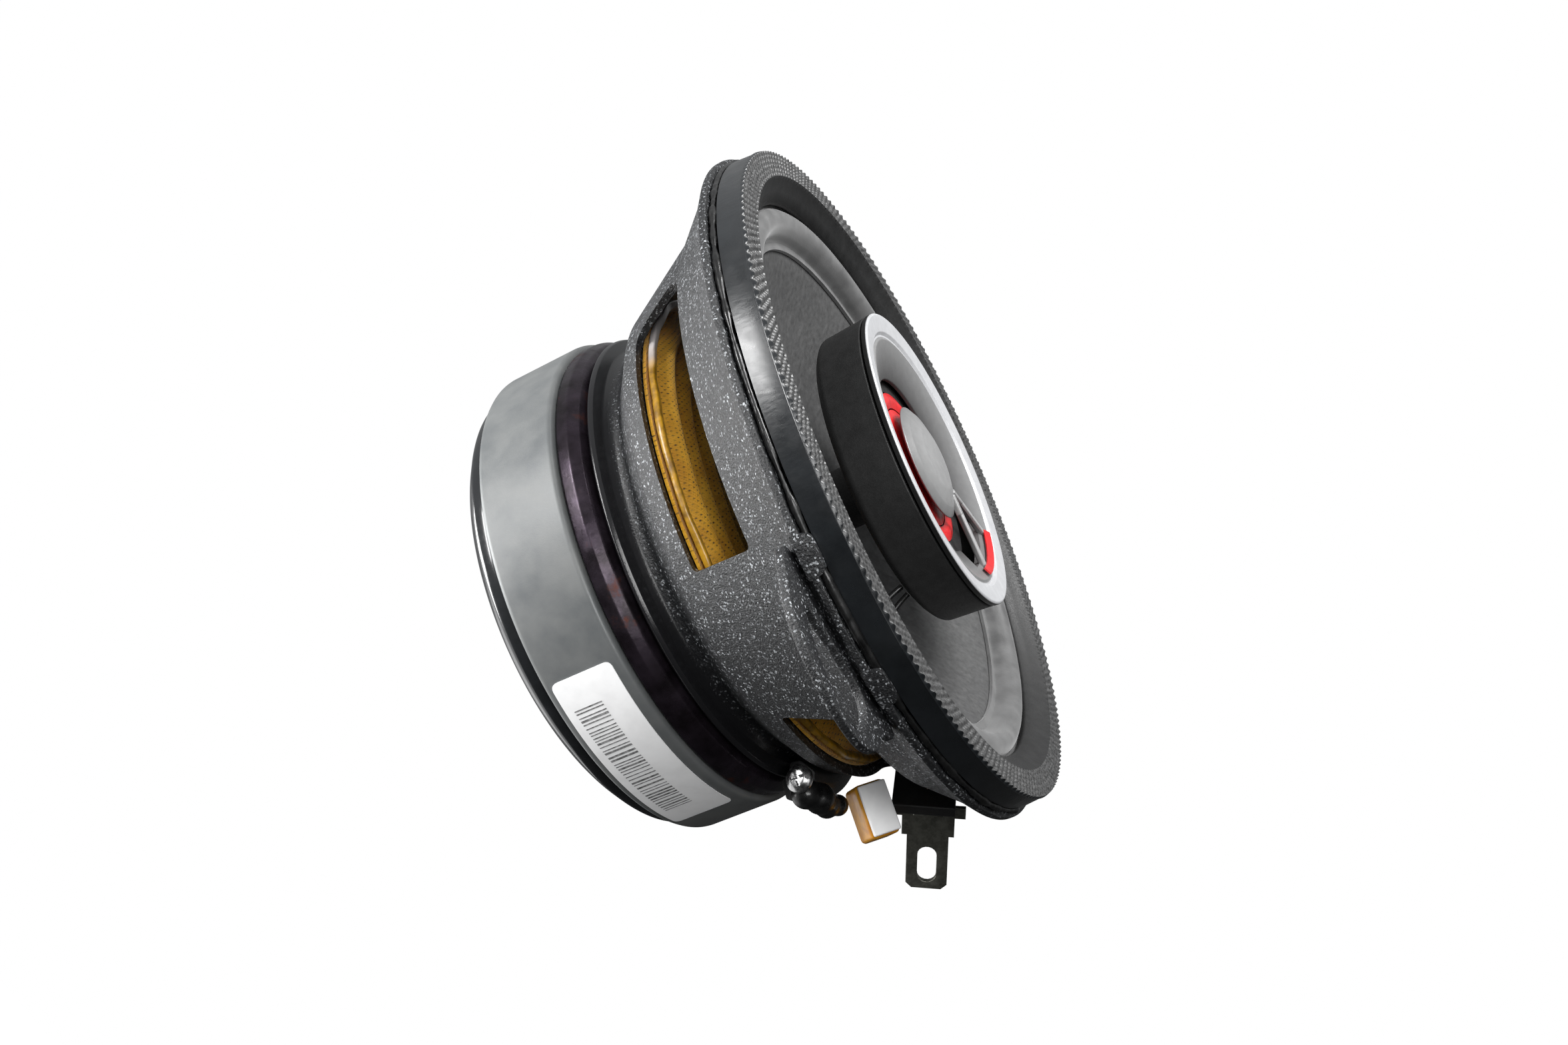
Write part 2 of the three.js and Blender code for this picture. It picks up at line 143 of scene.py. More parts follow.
def band(line, thickness):
    """A closed outline: the (r, z) line, thickened by the same amount everywhere."""
    points = [Vector(p) for p in line]
    other = []
    for i, p in enumerate(points):
        along = points[min(i + 1, len(points) - 1)] - points[max(i - 1, 0)]
        side = Vector((-along.y, along.x)).normalized()
        if side.y < 0:
            side = -side
        other.append(p + side * thickness)
    return [tuple(p) for p in points] + [tuple(p) for p in reversed(other)]


# ---- meshes ----
def link(name, mesh):
    obj = bpy.data.objects.new(name, mesh)
    bpy.context.scene.collection.objects.link(obj)
    return obj


def mesh_object(name, verts, faces, matrix=None):
    """A clean closed mesh from points in millimetres."""
    mesh = bpy.data.meshes.new(name)
    placed = [(matrix @ Vector(v)) if matrix else Vector(v) for v in verts]
    mesh.from_pydata([v * MM for v in placed], [], faces)
    bm = bmesh.new()
    bm.from_mesh(mesh)
    bmesh.ops.remove_doubles(bm, verts=bm.verts, dist=1e-7)
    loose = [e for e in bm.edges if not e.link_faces]
    bmesh.ops.delete(bm, geom=loose, context="EDGES")
    bmesh.ops.recalc_face_normals(bm, faces=bm.faces)
    bm.to_mesh(mesh)
    bm.free()
    return link(name, mesh)


def lathe(name, outline, steps=FINE, start=0.0, sweep=360.0, warp=None, matrix=None):
    """Turns a closed (radius, height) outline round Z. warp may move a point at an angle."""
    whole = sweep >= 360
    rows = steps if whole else steps + 1
    n = len(outline)
    verts, faces = [], []
    for i in range(rows):
        deg = start + sweep * i / steps
        for r, z in outline:
            if warp:
                r, z = warp(r, z, deg)
            verts.append(polar(r, deg, z))
    for i in range(steps):
        j = (i + 1) % rows
        for k in range(n):
            m = (k + 1) % n
            faces.append((i * n + k, j * n + k, j * n + m, i * n + m))
    if not whole:
        faces += [tuple(range(n)), tuple(range(steps * n, rows * n))]
    return mesh_object(name, verts, faces, matrix)


def curved_pad(name, outline, r0, r1, spread=1.0, matrix=None):
    """A closed solid whose (angle, z) outline is wrapped round Z between two radii."""
    outline = refine(outline, spread)
    n = len(outline)
    verts = [polar(r0, a, z) for a, z in outline] + [polar(r1, a, z) for a, z in outline]
    faces = [(i, (i + 1) % n, n + (i + 1) % n, n + i) for i in range(n)]
    strips = wrap_faces(outline)
    faces += [tuple(strip) for strip in strips] + [tuple(n + i for i in strip) for strip in strips]
    return mesh_object(name, verts, faces, matrix)


def refine(outline, spread):
    """Adds points so that no step of the angle is longer than spread degrees."""
    made = []
    for i, (a, z) in enumerate(outline):
        b, y = outline[(i + 1) % len(outline)]
        parts = max(1, math.ceil(abs(b - a) / spread))
        made += [(a + (b - a) * k / parts, z + (y - z) * k / parts) for k in range(parts)]
    return made


def wrap_faces(outline):
    """Faces over a convex (angle, z) outline, as a ladder between its two long sides."""
    order = sorted(range(len(outline)), key=lambda i: outline[i][0])
    left, right = order[0], order[-1]
    n = len(outline)
    one = [(left + k) % n for k in range((right - left) % n + 1)]
    two = [(left - k) % n for k in range((left - right) % n + 1)]
    made, i, j = [], 0, 0
    while i < len(one) - 1 or j < len(two) - 1:
        first = i < len(one) - 1
        if first and j < len(two) - 1:
            first = outline[one[i + 1]][0] <= outline[two[j + 1]][0]
        face = (one[i], one[i + 1], two[j]) if first else (one[i], two[j + 1], two[j])
        i, j = (i + 1, j) if first else (i, j + 1)
        if len(set(face)) == 3:
            made.append(face)
    return made


def apply_modifiers(obj):
    bpy.context.view_layer.update()
    graph = bpy.context.evaluated_depsgraph_get()
    mesh = bpy.data.meshes.new_from_object(obj.evaluated_get(graph))
    obj.modifiers.clear()
    obj.data = mesh
    return obj


def combine(obj, others, operation):
    """Joins or cuts obj with other closed meshes, which are then removed."""
    for other in others:
        modifier = obj.modifiers.new("combine", "BOOLEAN")
        modifier.operation = operation
        modifier.solver = "EXACT"
        modifier.object = other
    apply_modifiers(obj)
    for other in others:
        bpy.data.objects.remove(other)
    return obj


def bevelled(obj, width, segments=2, angle=40):
    """Rounds an object's sharp edges."""
    modifier = obj.modifiers.new("bevel", "BEVEL")
    modifier.width = width * MM
    modifier.segments = segments
    modifier.limit_method = "ANGLE"
    modifier.angle_limit = math.radians(angle)
    modifier.use_clamp_overlap = True
    return apply_modifiers(obj)


def block(name, size, matrix, bevel=0.2, segments=3):
    """A box with rounded edges."""
    x, y, z = (s / 2 for s in size)
    verts = [(sx * x, sy * y, sz * z) for sx in (-1, 1) for sy in (-1, 1) for sz in (-1, 1)]
    faces = [(0, 1, 3, 2), (4, 6, 7, 5), (0, 4, 5, 1), (2, 3, 7, 6), (0, 2, 6, 4), (1, 5, 7, 3)]
    return bevelled(mesh_object(name, verts, faces, matrix), bevel, segments)


def plate(name, outline, holes, thickness, matrix, bevel=0.12):
    """A flat outline with holes, given a thickness and rounded edges."""
    curve = bpy.data.curves.new(name, "CURVE")
    curve.dimensions = "2D"
    curve.fill_mode = "BOTH"
    for ring in (outline, *holes):
        line = curve.splines.new("POLY")
        line.points.add(len(ring) - 1)
        for point, (x, y) in zip(line.points, ring):
            point.co = (x * MM, y * MM, 0, 1)
        line.use_cyclic_u = True
    curve.extrude = (thickness / 2 - bevel) * MM
    curve.bevel_depth = bevel * MM
    curve.bevel_resolution = 2
    curve.offset = -bevel * MM
    holder = link(name + "_line", curve)
    bpy.context.view_layer.update()
    mesh = bpy.data.meshes.new_from_object(holder)
    verts = [v.co / MM for v in mesh.vertices]
    faces = [tuple(p.vertices) for p in mesh.polygons]
    bpy.data.objects.remove(holder)
    return mesh_object(name, verts, faces, matrix)


def cable(name, points, radius, strands=0, twist=0.0, sides=14):
    """A lead along a smooth line; strands and twist (turns per mm) make a braided surface."""
    line = [Vector(p) for p in spline(points, 10)]
    verts, faces = [], []
    side = (line[1] - line[0]).orthogonal().normalized()
    run = 0.0
    for i, p in enumerate(line):
        along = (line[min(i + 1, len(line) - 1)] - line[max(i - 1, 0)]).normalized()
        side = (side - along * side.dot(along)).normalized()
        other = along.cross(side)
        run += (p - line[i - 1]).length if i else 0.0
        for k in range(sides):
            a = 2 * math.pi * k / sides
            lobe = 1 + (0.14 * math.cos(strands * a + 2 * math.pi * twist * run) if strands else 0)
            verts.append(p + (side * math.cos(a) + other * math.sin(a)) * radius * lobe)
    for i in range(len(line) - 1):
        for k in range(sides):
            m = (k + 1) % sides
            faces.append((i * sides + k, i * sides + m, (i + 1) * sides + m, (i + 1) * sides + k))
    faces += [tuple(range(sides)), tuple(range((len(line) - 1) * sides, len(line) * sides))]
    return mesh_object(name, verts, faces)


def blob(name, balls, voxel=0.25, smooth=8):
    """Overlapping balls (centre, radius) melted into one lump."""
    bm = bmesh.new()
    for centre, radius in balls:
        bmesh.ops.create_icosphere(
            bm, subdivisions=3, radius=radius * MM, matrix=Matrix.Translation(Vector(centre) * MM)
        )
    mesh = bpy.data.meshes.new(name)
    bm.to_mesh(mesh)
    bm.free()
    obj = link(name, mesh)
    melt = obj.modifiers.new("melt", "REMESH")
    melt.mode = "VOXEL"
    melt.voxel_size = voxel * MM
    melt.use_smooth_shade = True
    even = obj.modifiers.new("even", "SMOOTH")
    even.iterations = smooth
    return apply_modifiers(obj)


def shade(obj, angle=32):
    """Smooth shading, with edges sharper than the angle kept crisp."""
    obj.data.polygons.foreach_set("use_smooth", [True] * len(obj.data.polygons))
    obj.data.set_sharp_from_angle(angle=math.radians(angle))
    return obj


# ---- materials ----
class Look:
    """One material's node tree, with short calls for the nodes that this model uses."""

    def __init__(self, name, colour, roughness, **constants):
        self.material = bpy.data.materials.new(name)
        self.material.use_nodes = True
        self.tree = self.material.node_tree
        self.shader = self.tree.nodes["Principled BSDF"]
        self.shader.inputs["Base Color"].default_value = (*colour, 1)
        self.shader.inputs["Roughness"].default_value = roughness
        for socket, value in constants.items():
            self.shader.inputs[socket.replace("_", " ")].default_value = value
        self.where = self.node("ShaderNodeTexCoord").outputs["Object"]

    def node(self, kind, **settings):
        made = self.tree.nodes.new(kind)
        for key, value in settings.items():
            setattr(made, key, value)
        return made

    def put(self, socket, value):
        if hasattr(value, "links"):
            self.tree.links.new(value, socket)
        else:
            socket.default_value = value

    def stretch(self, x, y, z):
        mapping = self.node("ShaderNodeMapping")
        self.put(mapping.inputs["Vector"], self.where)
        mapping.inputs["Scale"].default_value = (x, y, z)
        return mapping.outputs["Vector"]

    def noise(self, size, detail=3.0, rough=0.55, where=None):
        """Cloudy noise; size is its grain in millimetres."""
        made = self.node("ShaderNodeTexNoise")
        self.put(made.inputs["Vector"], where or self.where)
        made.inputs["Scale"].default_value = 1 / (size * MM)
        made.inputs["Detail"].default_value = detail
        made.inputs["Roughness"].default_value = rough
        return made.outputs["Fac"]

    def cells(self, size, output="Distance", where=None):
        made = self.node("ShaderNodeTexVoronoi")
        self.put(made.inputs["Vector"], where or self.where)
        made.inputs["Scale"].default_value = 1 / (size * MM)
        return made.outputs[output]

    def math(self, operation, a, b=0.0):
        made = self.node("ShaderNodeMath", operation=operation)
        self.put(made.inputs[0], a)
        self.put(made.inputs[1], b)
        return made.outputs[0]

    def axis(self, name, source=None):
        made = self.node("ShaderNodeSeparateXYZ")
        self.put(made.inputs[0], source or self.where)
        return made.outputs[name]

    def fade(self, value, start, end, low=0.0, high=1.0):
        made = self.node("ShaderNodeMapRange")
        self.put(made.inputs["Value"], value)
        for key, number in (("From Min", start), ("From Max", end), ("To Min", low), ("To Max", high)):
            made.inputs[key].default_value = number
        return made.outputs["Result"]

    def mix(self, amount, a, b):
        made = self.node("ShaderNodeMix", data_type="RGBA")
        self.put(made.inputs[0], amount)
        self.put(made.inputs[6], a if hasattr(a, "links") else (*a, 1))
        self.put(made.inputs[7], b if hasattr(b, "links") else (*b, 1))
        return made.outputs[2]

    def radius(self):
        """Distance from the speaker's axis, in metres."""
        made = self.node("ShaderNodeVectorMath", operation="LENGTH")
        self.put(made.inputs[0], self.stretch(1, 1, 0))
        return made.outputs["Value"]

    def colour(self, value):
        self.put(self.shader.inputs["Base Color"], value)

    def clouds(self, size, detail, start, end, a, b):
        """Colours the material in cloudy patches of two tones."""
        self.colour(self.mix(self.fade(self.noise(size, detail), start, end), a, b))

    def roughness(self, value):
        self.put(self.shader.inputs["Roughness"], value)

    def bump(self, height, depth, strength=1.0):
        """Adds relief; depth is in millimetres. Later calls build on earlier ones."""
        made = self.node("ShaderNodeBump")
        made.inputs["Strength"].default_value = strength
        made.inputs["Distance"].default_value = depth * MM
        self.put(made.inputs["Height"], height)
        before = self.shader.inputs["Normal"]
        if before.links:
            self.put(made.inputs["Normal"], before.links[0].from_socket)
        self.put(before, made.outputs["Normal"])


def grey(value):
    return (value, value, value)


def sand_paint():
    """Dark powder coat: fine sandy grain with bright flecks that are painted glints, glossy in the hollow of
    the neck.
    """
    look = Look("sand_paint", grey(0.05), 0.5)
    grain = look.noise(0.26, 4, 0.62)
    flecks = look.cells(0.22, "Color")
    # Painted glints: scattered grains get a pale colour in place of light catching the sandy grain.
    glint_mask = look.fade(look.axis("X", flecks), 0.88, 0.99)
    patch = look.noise(3.2, 2)
    body = look.mix(look.fade(grain, 0.35, 0.68), (0.003, 0.0033, 0.0037), (0.022, 0.023, 0.025))
    painted_glints = look.math("MULTIPLY", glint_mask, look.fade(patch, 0.35, 0.62, 0.4, 1.0))
    body = look.mix(painted_glints, body, (0.42, 0.44, 0.46))
    neck = look.fade(look.axis("Z"), 22.9 * MM, 24.4 * MM)
    look.colour(look.mix(neck, (0.010, 0.010, 0.011), body))
    look.roughness(look.fade(neck, 0, 1, 0.14, 0.42))
    look.bump(look.math("MULTIPLY", grain, look.fade(neck, 0, 1, 0.1, 1.0)), 0.22, 0.8)
    look.bump(look.math("MULTIPLY", look.cells(0.26), neck), 0.08, 0.5)
    return look.material


def gloss_black():
    look = Look("gloss_black", grey(0.012), 0.16, Metallic=0.0, Coat_Weight=0.4, Coat_Roughness=0.05)
    wear = look.noise(2.5, 4)
    look.colour(look.mix(look.fade(wear, 0.45, 0.75), (0.010, 0.011, 0.012), (0.015, 0.016, 0.018)))
    look.roughness(look.fade(look.noise(0.5, 5), 0.3, 0.7, 0.16, 0.22))
    look.bump(look.noise(0.5, 3), 0.012, 0.4)
    return look.material


def ferrite():
    """Ground ceramic: satin mid grey with soft cloudy marks and fine pits."""
    look = Look("ferrite", grey(0.14), 0.36, Metallic=0.1)
    cloud = look.noise(6, 4, 0.6)
    grind = look.noise(0.5, 2, 0.5, look.stretch(1, 1, 6))
    tone = look.mix(look.fade(cloud, 0.3, 0.7), (0.105, 0.112, 0.115), (0.150, 0.155, 0.153))
    look.colour(look.mix(look.fade(grind, 0.62, 0.8, 0, 0.2), tone, (0.09, 0.095, 0.10)))
    look.roughness(look.fade(cloud, 0.3, 0.7, 0.36, 0.5))
    look.bump(look.noise(0.25, 3), 0.03, 0.5)
    return look.material


def oxide():
    """Blued steel plate: dark purple-brown with rust blooms and a soft sheen."""
    look = Look("oxide", (0.05, 0.04, 0.05), 0.32, Metallic=0.75)
    stain = look.noise(4.5, 4, 0.6)
    rust = look.noise(7, 5, 0.65)
    tone = look.mix(look.fade(stain, 0.35, 0.65), (0.016, 0.012, 0.015), (0.045, 0.034, 0.046))
    look.colour(look.mix(look.fade(rust, 0.60, 0.68, 0, 0.6), tone, (0.10, 0.026, 0.012)))
    look.roughness(look.fade(rust, 0.5, 0.7, 0.26, 0.55))
    look.bump(look.noise(0.6, 4), 0.04, 0.5)
    return look.material


def bright_steel():
    look = Look("bright_steel", grey(0.55), 0.25, Metallic=1.0)
    look.clouds(0.9, 4, 0.35, 0.7, grey(0.62), grey(0.34))
    look.roughness(look.fade(look.noise(0.5, 3), 0.3, 0.7, 0.16, 0.38))
    look.bump(look.noise(0.3, 2), 0.02, 0.4)
    return look.material


def gasket_wall():
    """Moulded ring: satin black with an orange-peel skin that breaks up its highlight."""
    look = Look("gasket_wall", grey(0.014), 0.3, Coat_Weight=0.25, Coat_Roughness=0.2)
    peel = look.noise(0.55, 3, 0.5, look.stretch(1, 1, 0.45))
    look.clouds(5, 3, 0.3, 0.7, (0.006, 0.007, 0.008), (0.012, 0.014, 0.016))
    look.roughness(look.fade(look.noise(2.2, 4), 0.3, 0.7, 0.24, 0.38))
    look.bump(peel, 0.045, 0.5)
    return look.material


def gasket_face():
    look = Look("gasket_face", grey(0.05), 0.34, Metallic=0.3)
    look.clouds(0.4, 4, 0.35, 0.7, grey(0.04), grey(0.13))
    look.bump(look.noise(0.22, 3), 0.06, 0.6)
    return look.material


def rubber():
    """Surround: satin synthetic rubber with a faint dusty bloom."""
    look = Look("rubber", grey(0.09), 0.48, Sheen_Weight=0.3, Sheen_Roughness=0.5)
    dust = look.noise(3.5, 5, 0.6)
    look.colour(look.mix(look.fade(dust, 0.35, 0.7), grey(0.07), grey(0.125)))
    look.roughness(look.fade(dust, 0.3, 0.7, 0.42, 0.58))
    look.bump(look.noise(0.3, 3), 0.03, 0.4)
    return look.material


def cone_pulp():
    look = Look("cone_pulp", grey(0.06), 0.62)
    fibre = look.noise(0.9, 5, 0.65)
    look.colour(look.mix(look.fade(fibre, 0.3, 0.75), grey(0.045), grey(0.095)))
    look.roughness(look.fade(look.noise(3, 3), 0.3, 0.7, 0.5, 0.7))
    look.bump(fibre, 0.05, 0.6)
    return look.material


def amber_cloth():
    """Resin-stiffened weave: threads along X and Y with small open holes, and a painted shadow of the cone
    that darkens it towards the middle.
    """
    look = Look("amber_cloth", (0.6, 0.3, 0.02), 0.6, Sheen_Weight=0.2)
    pitch = 2 * math.pi / (0.52 * MM)
    wave_x = look.math("SINE", look.math("MULTIPLY", look.axis("X"), pitch))
    wave_y = look.math("SINE", look.math("MULTIPLY", look.axis("Y"), pitch))
    hole = look.math("MULTIPLY", look.fade(wave_x, 0.1, 0.8), look.fade(wave_y, 0.1, 0.8))
    ragged = look.math("MULTIPLY", hole, look.fade(look.noise(0.8, 3), 0.35, 0.6))
    tone = look.mix(look.fade(look.noise(4, 3), 0.35, 0.65), (0.66, 0.30, 0.008), (0.86, 0.45, 0.025))
    # Painted shadow: nearly black towards the middle, where the cone shades the cloth.
    tone = look.mix(look.fade(look.radius(), 19 * MM, 28 * MM), (0.075, 0.052, 0.006), tone)
    look.colour(look.mix(ragged, tone, (0.05, 0.022, 0.002)))
    thread = look.math("MAXIMUM", look.math("ABSOLUTE", wave_x), look.math("ABSOLUTE", wave_y))
    look.bump(thread, 0.12, 0.6)
    look.bump(ragged, 0.15, -0.7)
    return look.material


def adhesive():
    look = Look("adhesive", (0.62, 0.58, 0.5), 0.35, Coat_Weight=0.3)
    brown = look.mix(look.fade(look.noise(1.5, 4), 0.4, 0.65), (0.50, 0.26, 0.012), (0.20, 0.10, 0.010))
    pale = look.fade(look.axis("X"), -33.2 * MM, -35.2 * MM)
    look.colour(look.mix(pale, brown, (0.62, 0.58, 0.57)))
    look.bump(look.noise(0.7, 3), 0.15, 0.6)
    return look.material


def copper():
    look = Look("copper", (0.62, 0.26, 0.12), 0.32, Metallic=0.9)
    turns = look.math("SINE", look.math("MULTIPLY", look.axis("Z"), 2 * math.pi / (0.24 * MM)))
    look.colour(look.mix(look.fade(turns, -1, 0.2), (0.22, 0.07, 0.03), (0.66, 0.29, 0.14)))
    look.bump(turns, 0.06, 0.8)
    return look.material


def former_film():
    look = Look("former_film", (0.20, 0.10, 0.03), 0.35, Coat_Weight=0.3)
    look.clouds(2.5, 3, 0.3, 0.7, (0.16, 0.075, 0.02), (0.28, 0.15, 0.05))
    look.bump(look.noise(0.4, 2), 0.02, 0.4)
    return look.material


def black_plastic():
    """Fine matte spark-eroded texture."""
    look = Look("black_plastic", grey(0.012), 0.5)
    look.clouds(1.6, 4, 0.3, 0.7, grey(0.009), grey(0.017))
    look.roughness(look.fade(look.noise(0.3, 3), 0.3, 0.7, 0.44, 0.6))
    look.bump(look.noise(0.2, 3), 0.035, 0.5)
    return look.material


def black_glue():
    look = Look("black_glue", grey(0.006), 0.3)
    look.clouds(1.2, 3, 0.4, 0.7, grey(0.004), grey(0.010))
    look.roughness(look.fade(look.noise(1.6, 3), 0.35, 0.65, 0.2, 0.45))
    look.bump(look.noise(0.9, 3), 0.08, 0.5)
    return look.material


def satin_grey():
    """Painted bezel: pale rim and bars, a flare darkened inwards by painted shade, a phase plug with painted
    shade towards its foot, and a black outer wall.
    """
    look = Look("satin_grey", grey(0.4), 0.36, Metallic=0.25)
    r, z = look.radius(), look.axis("Z")
    mottle = look.fade(look.noise(1.2, 4), 0.3, 0.7, 0.88, 1.0)
    # Painted shade: the flare turns darker towards the mouth.
    flare = look.mix(look.fade(r, 13.5 * MM, 19.2 * MM), grey(0.07), grey(0.27))
    # Painted shade and highlight: the phase plug darkens towards its foot, down in the mouth, and lightens
    # towards its top.
    plug = look.mix(look.fade(z, 56.0 * MM, 57.8 * MM), grey(0.16), grey(0.34))
    tone = look.mix(look.fade(r, 9.0 * MM, 9.2 * MM), plug, flare)
    bars = look.math("MULTIPLY", look.fade(z, 57.1 * MM, 57.2 * MM), look.fade(r, 17.3 * MM, 17.2 * MM))
    tone = look.mix(look.math("MULTIPLY", bars, look.fade(r, 9.1 * MM, 9.3 * MM)), tone, grey(0.38))
    tone = look.mix(look.fade(r, 19.35 * MM, 19.5 * MM), tone, (0.60, 0.605, 0.62))
    wall = look.math("MULTIPLY", look.fade(r, 22.60 * MM, 22.72 * MM), look.fade(z, 58.02 * MM, 57.9 * MM))
    tone = look.mix(wall, tone, grey(0.015))
    look.colour(look.mix(mottle, grey(0), tone))
    look.roughness(look.fade(look.noise(0.35, 3), 0.3, 0.7, 0.32, 0.44))
    look.bump(look.noise(0.22, 2), 0.02, 0.5)
    return look.material


def signal_red():
    look = Look("signal_red", (0.62, 0.008, 0.01), 0.34, Coat_Weight=0.2)
    look.clouds(1.4, 3, 0.3, 0.7, (0.52, 0.006, 0.009), (0.72, 0.012, 0.014))
    look.bump(look.noise(0.3, 2), 0.02, 0.4)
    return look.material


def terminal_metal():
    """Tarnished tin plate: dark olive with brighter rubbed patches."""
    look = Look("terminal_metal", (0.10, 0.10, 0.085), 0.42, Metallic=0.8)
    stain = look.noise(1.6, 5, 0.65)
    look.colour(look.mix(look.fade(stain, 0.4, 0.66), (0.10, 0.10, 0.085), (0.23, 0.23, 0.20)))
    look.roughness(look.fade(stain, 0.35, 0.7, 0.5, 0.34))
    look.bump(look.noise(0.25, 3, 0.5, look.stretch(1, 3, 1)), 0.02, 0.6)
    return look.material


def braid():
    look = Look("braid", (0.62, 0.42, 0.30), 0.35, Metallic=0.7)
    strand = look.noise(0.35, 2, 0.5)
    look.colour(look.mix(look.fade(strand, 0.35, 0.65), (0.36, 0.20, 0.12), (0.80, 0.68, 0.56)))
    look.bump(strand, 0.12, 0.8)
    return look.material


def orange_case():
    look = Look("orange_case", (0.75, 0.33, 0.02), 0.36, Coat_Weight=0.2)
    look.clouds(1.8, 3, 0.35, 0.7, (0.78, 0.36, 0.02), (0.50, 0.19, 0.015))
    look.bump(look.noise(0.6, 3), 0.05, 0.5)
    return look.material


def white_paper():
    look = Look("white_paper", grey(0.85), 0.55)
    look.clouds(2.5, 4, 0.4, 0.75, grey(0.94), grey(0.86))
    look.bump(look.noise(0.15, 3), 0.015, 0.5)
    return look.material


def printed_ink():
    look = Look("printed_ink", grey(0.12), 0.6)
    look.clouds(0.5, 4, 0.35, 0.65, grey(0.08), grey(0.34))
    return look.material


def pale_floor():
    """Pale and faintly lit, so that it meets the white room without an edge."""
    look = Look("pale_floor", grey(0.9), 0.9, Emission_Color=(1, 1, 1, 1), Emission_Strength=0.75)
    look.colour(look.mix(look.noise(60, 3), grey(0.9), grey(0.93)))
    return look.material


LOOKS = {make.__name__: make() for make in (
    sand_paint, gloss_black, ferrite, oxide, bright_steel, gasket_wall, gasket_face, rubber,
    cone_pulp, amber_cloth, adhesive, copper, former_film, black_plastic, black_glue, satin_grey,
    signal_red, terminal_metal, braid, orange_case, white_paper, printed_ink, pale_floor,
)}


# ---- placing pieces ----
def finish_piece(obj, look, body="chassis", nodes=(), angle=32):
    """Gives a piece its look, its body and the nodes that it stands for."""
    obj.data.materials.clear()
    obj.data.materials.append(LOOKS[look])
    shade(obj, angle)
    if nodes:
        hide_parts(*nodes)
    if body:
        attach(obj, body)
    return obj


def flexes(obj, fixed_at, moving_at):
    """For a piece held by the chassis at one radius and by a moving body at the other: bakes its placement
    into its mesh and works out each point's share between the two radii, but keeps nothing of it.
    """
    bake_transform(obj)
    for v in obj.data.vertices:
        share = (fixed_at - math.hypot(v.co.x, v.co.y) / MM) / (fixed_at - moving_at)
        share = min(1.0, max(0.0, share))
    return obj


# ---- motor ----
def make_motor():
    pole_top = high("t_yoke").z
    yoke = [
        (0, 0, 0), (BACK_R - 2, 0, 1.2), (BACK_R, 1.8, 1.2), (BACK_R, 3.9, 0.7), (11.9, 3.9, 0.3),
        (11.9, pole_top, 0.4), (2.3, pole_top, 0.2), (2.3, 8, 0), (0, 8, 0),
    ]
    finish_piece(lathe("back_plate", rounded(yoke)), "gloss_black", nodes=["t_yoke"])
    z0, z1 = MAGNET_Z
    magnet = [(19, z0, 0.6), (MAGNET_R, z0, 0.8), (MAGNET_R, z1, 0.8), (19, z1, 0.6)]
    finish_piece(lathe("magnet", rounded(magnet)), "ferrite", nodes=["ferrite_magnet"])
    z0, z1 = TOP_Z
    top = [(14.1, z0, 0.2), (TOP_R, z0, 0.3), (TOP_R, z1 - 2.2, 0.9), (TOP_R - 0.8, z1 - 0.8, 0.9),
           (TOP_R - 2.6, z1, 0.8), (14.1, z1, 0.2)]
    finish_piece(lathe("front_plate", rounded(top, turns=8)), "oxide", nodes=["top_plate"])
    make_label()


LABEL_ANGLES = (-98, -48.5)
LABEL_Z = (5.4, 14.8)
PRINT_ANGLES = (-91.0, -56)
PRINT_Z = (6.6, 10.9)


def make_label():
    """A white sticker with rounded corners and a generic row of printed bars."""
    r = MAGNET_R + 0.05
    per_degree = math.radians(1) * r
    corners = [(a * per_degree, z, 1.1) for a, z in (
        (LABEL_ANGLES[0], LABEL_Z[0]), (LABEL_ANGLES[1], LABEL_Z[0]),
        (LABEL_ANGLES[1], LABEL_Z[1]), (LABEL_ANGLES[0], LABEL_Z[1]),
    )]
    outline = [(s / per_degree, z) for s, z in rounded(corners, turns=6)]
    label = curved_pad("label", outline, r, r + 0.12)
    finish_piece(label, "white_paper", nodes=["magnet_label"])
    pick = random.Random(7)
    angle, last = PRINT_ANGLES
    bottom, top = PRINT_Z
    parts = []
    while angle < last:
        width = pick.choice((0.25, 0.3, 0.5))
        bar = [(angle, bottom), (angle + width, bottom), (angle + width, top), (angle, top)]
        parts.append(curved_pad("bar", bar, r + 0.13, r + 0.15))
        angle += width + pick.choice((0.45, 0.6, 0.8))
    finish_piece(merged("label_bars", parts), "printed_ink")


def merged(name, objects):
    """Several meshes as one object; each stays its own closed shell."""
    bm = bmesh.new()
    for obj in objects:
        bm.from_mesh(obj.data)
        bpy.data.objects.remove(obj)
    mesh = bpy.data.meshes.new(name)
    bm.to_mesh(mesh)
    bm.free()
    return link(name, mesh)


# ---- basket ----
BOWL = [
    (15.5, 21.0, 0.2), (35.4, 21.0, 0.15), (35.8, 21.4, 0.25), (35.5, 22.0, 0.25), (33.8, 22.4, 0.9),
    (32.8, 23.3, 0.9), (32.6, 24.4, 1.0), (34.4, 26.0, 3.0),
    (37.4, 28.3, 1.5), (38.8, 30.9, 1.5), (44.3, 41.2, 6.0), (48.9, 46.6, 0.5), (51.3, 48.7, 0.3),
    (51.3, 49.6, 0.3), (43.3, 49.6, 0.3), (43.3, 48.5, 0.3), (48.2, 48.4, 0.6), (43.4, 41.9, 4.0),
    (37.7, 31.0, 0.6), (34.9, 31.0, 0.3), (34.9, 30.0, 0.3), (36.6, 29.9, 0.8), (33.6, 27.0, 2.0),
    (31.5, 24.4, 1.5), (31.1, 22.1, 0.5), (15.5, 22.1, 0.2),
]
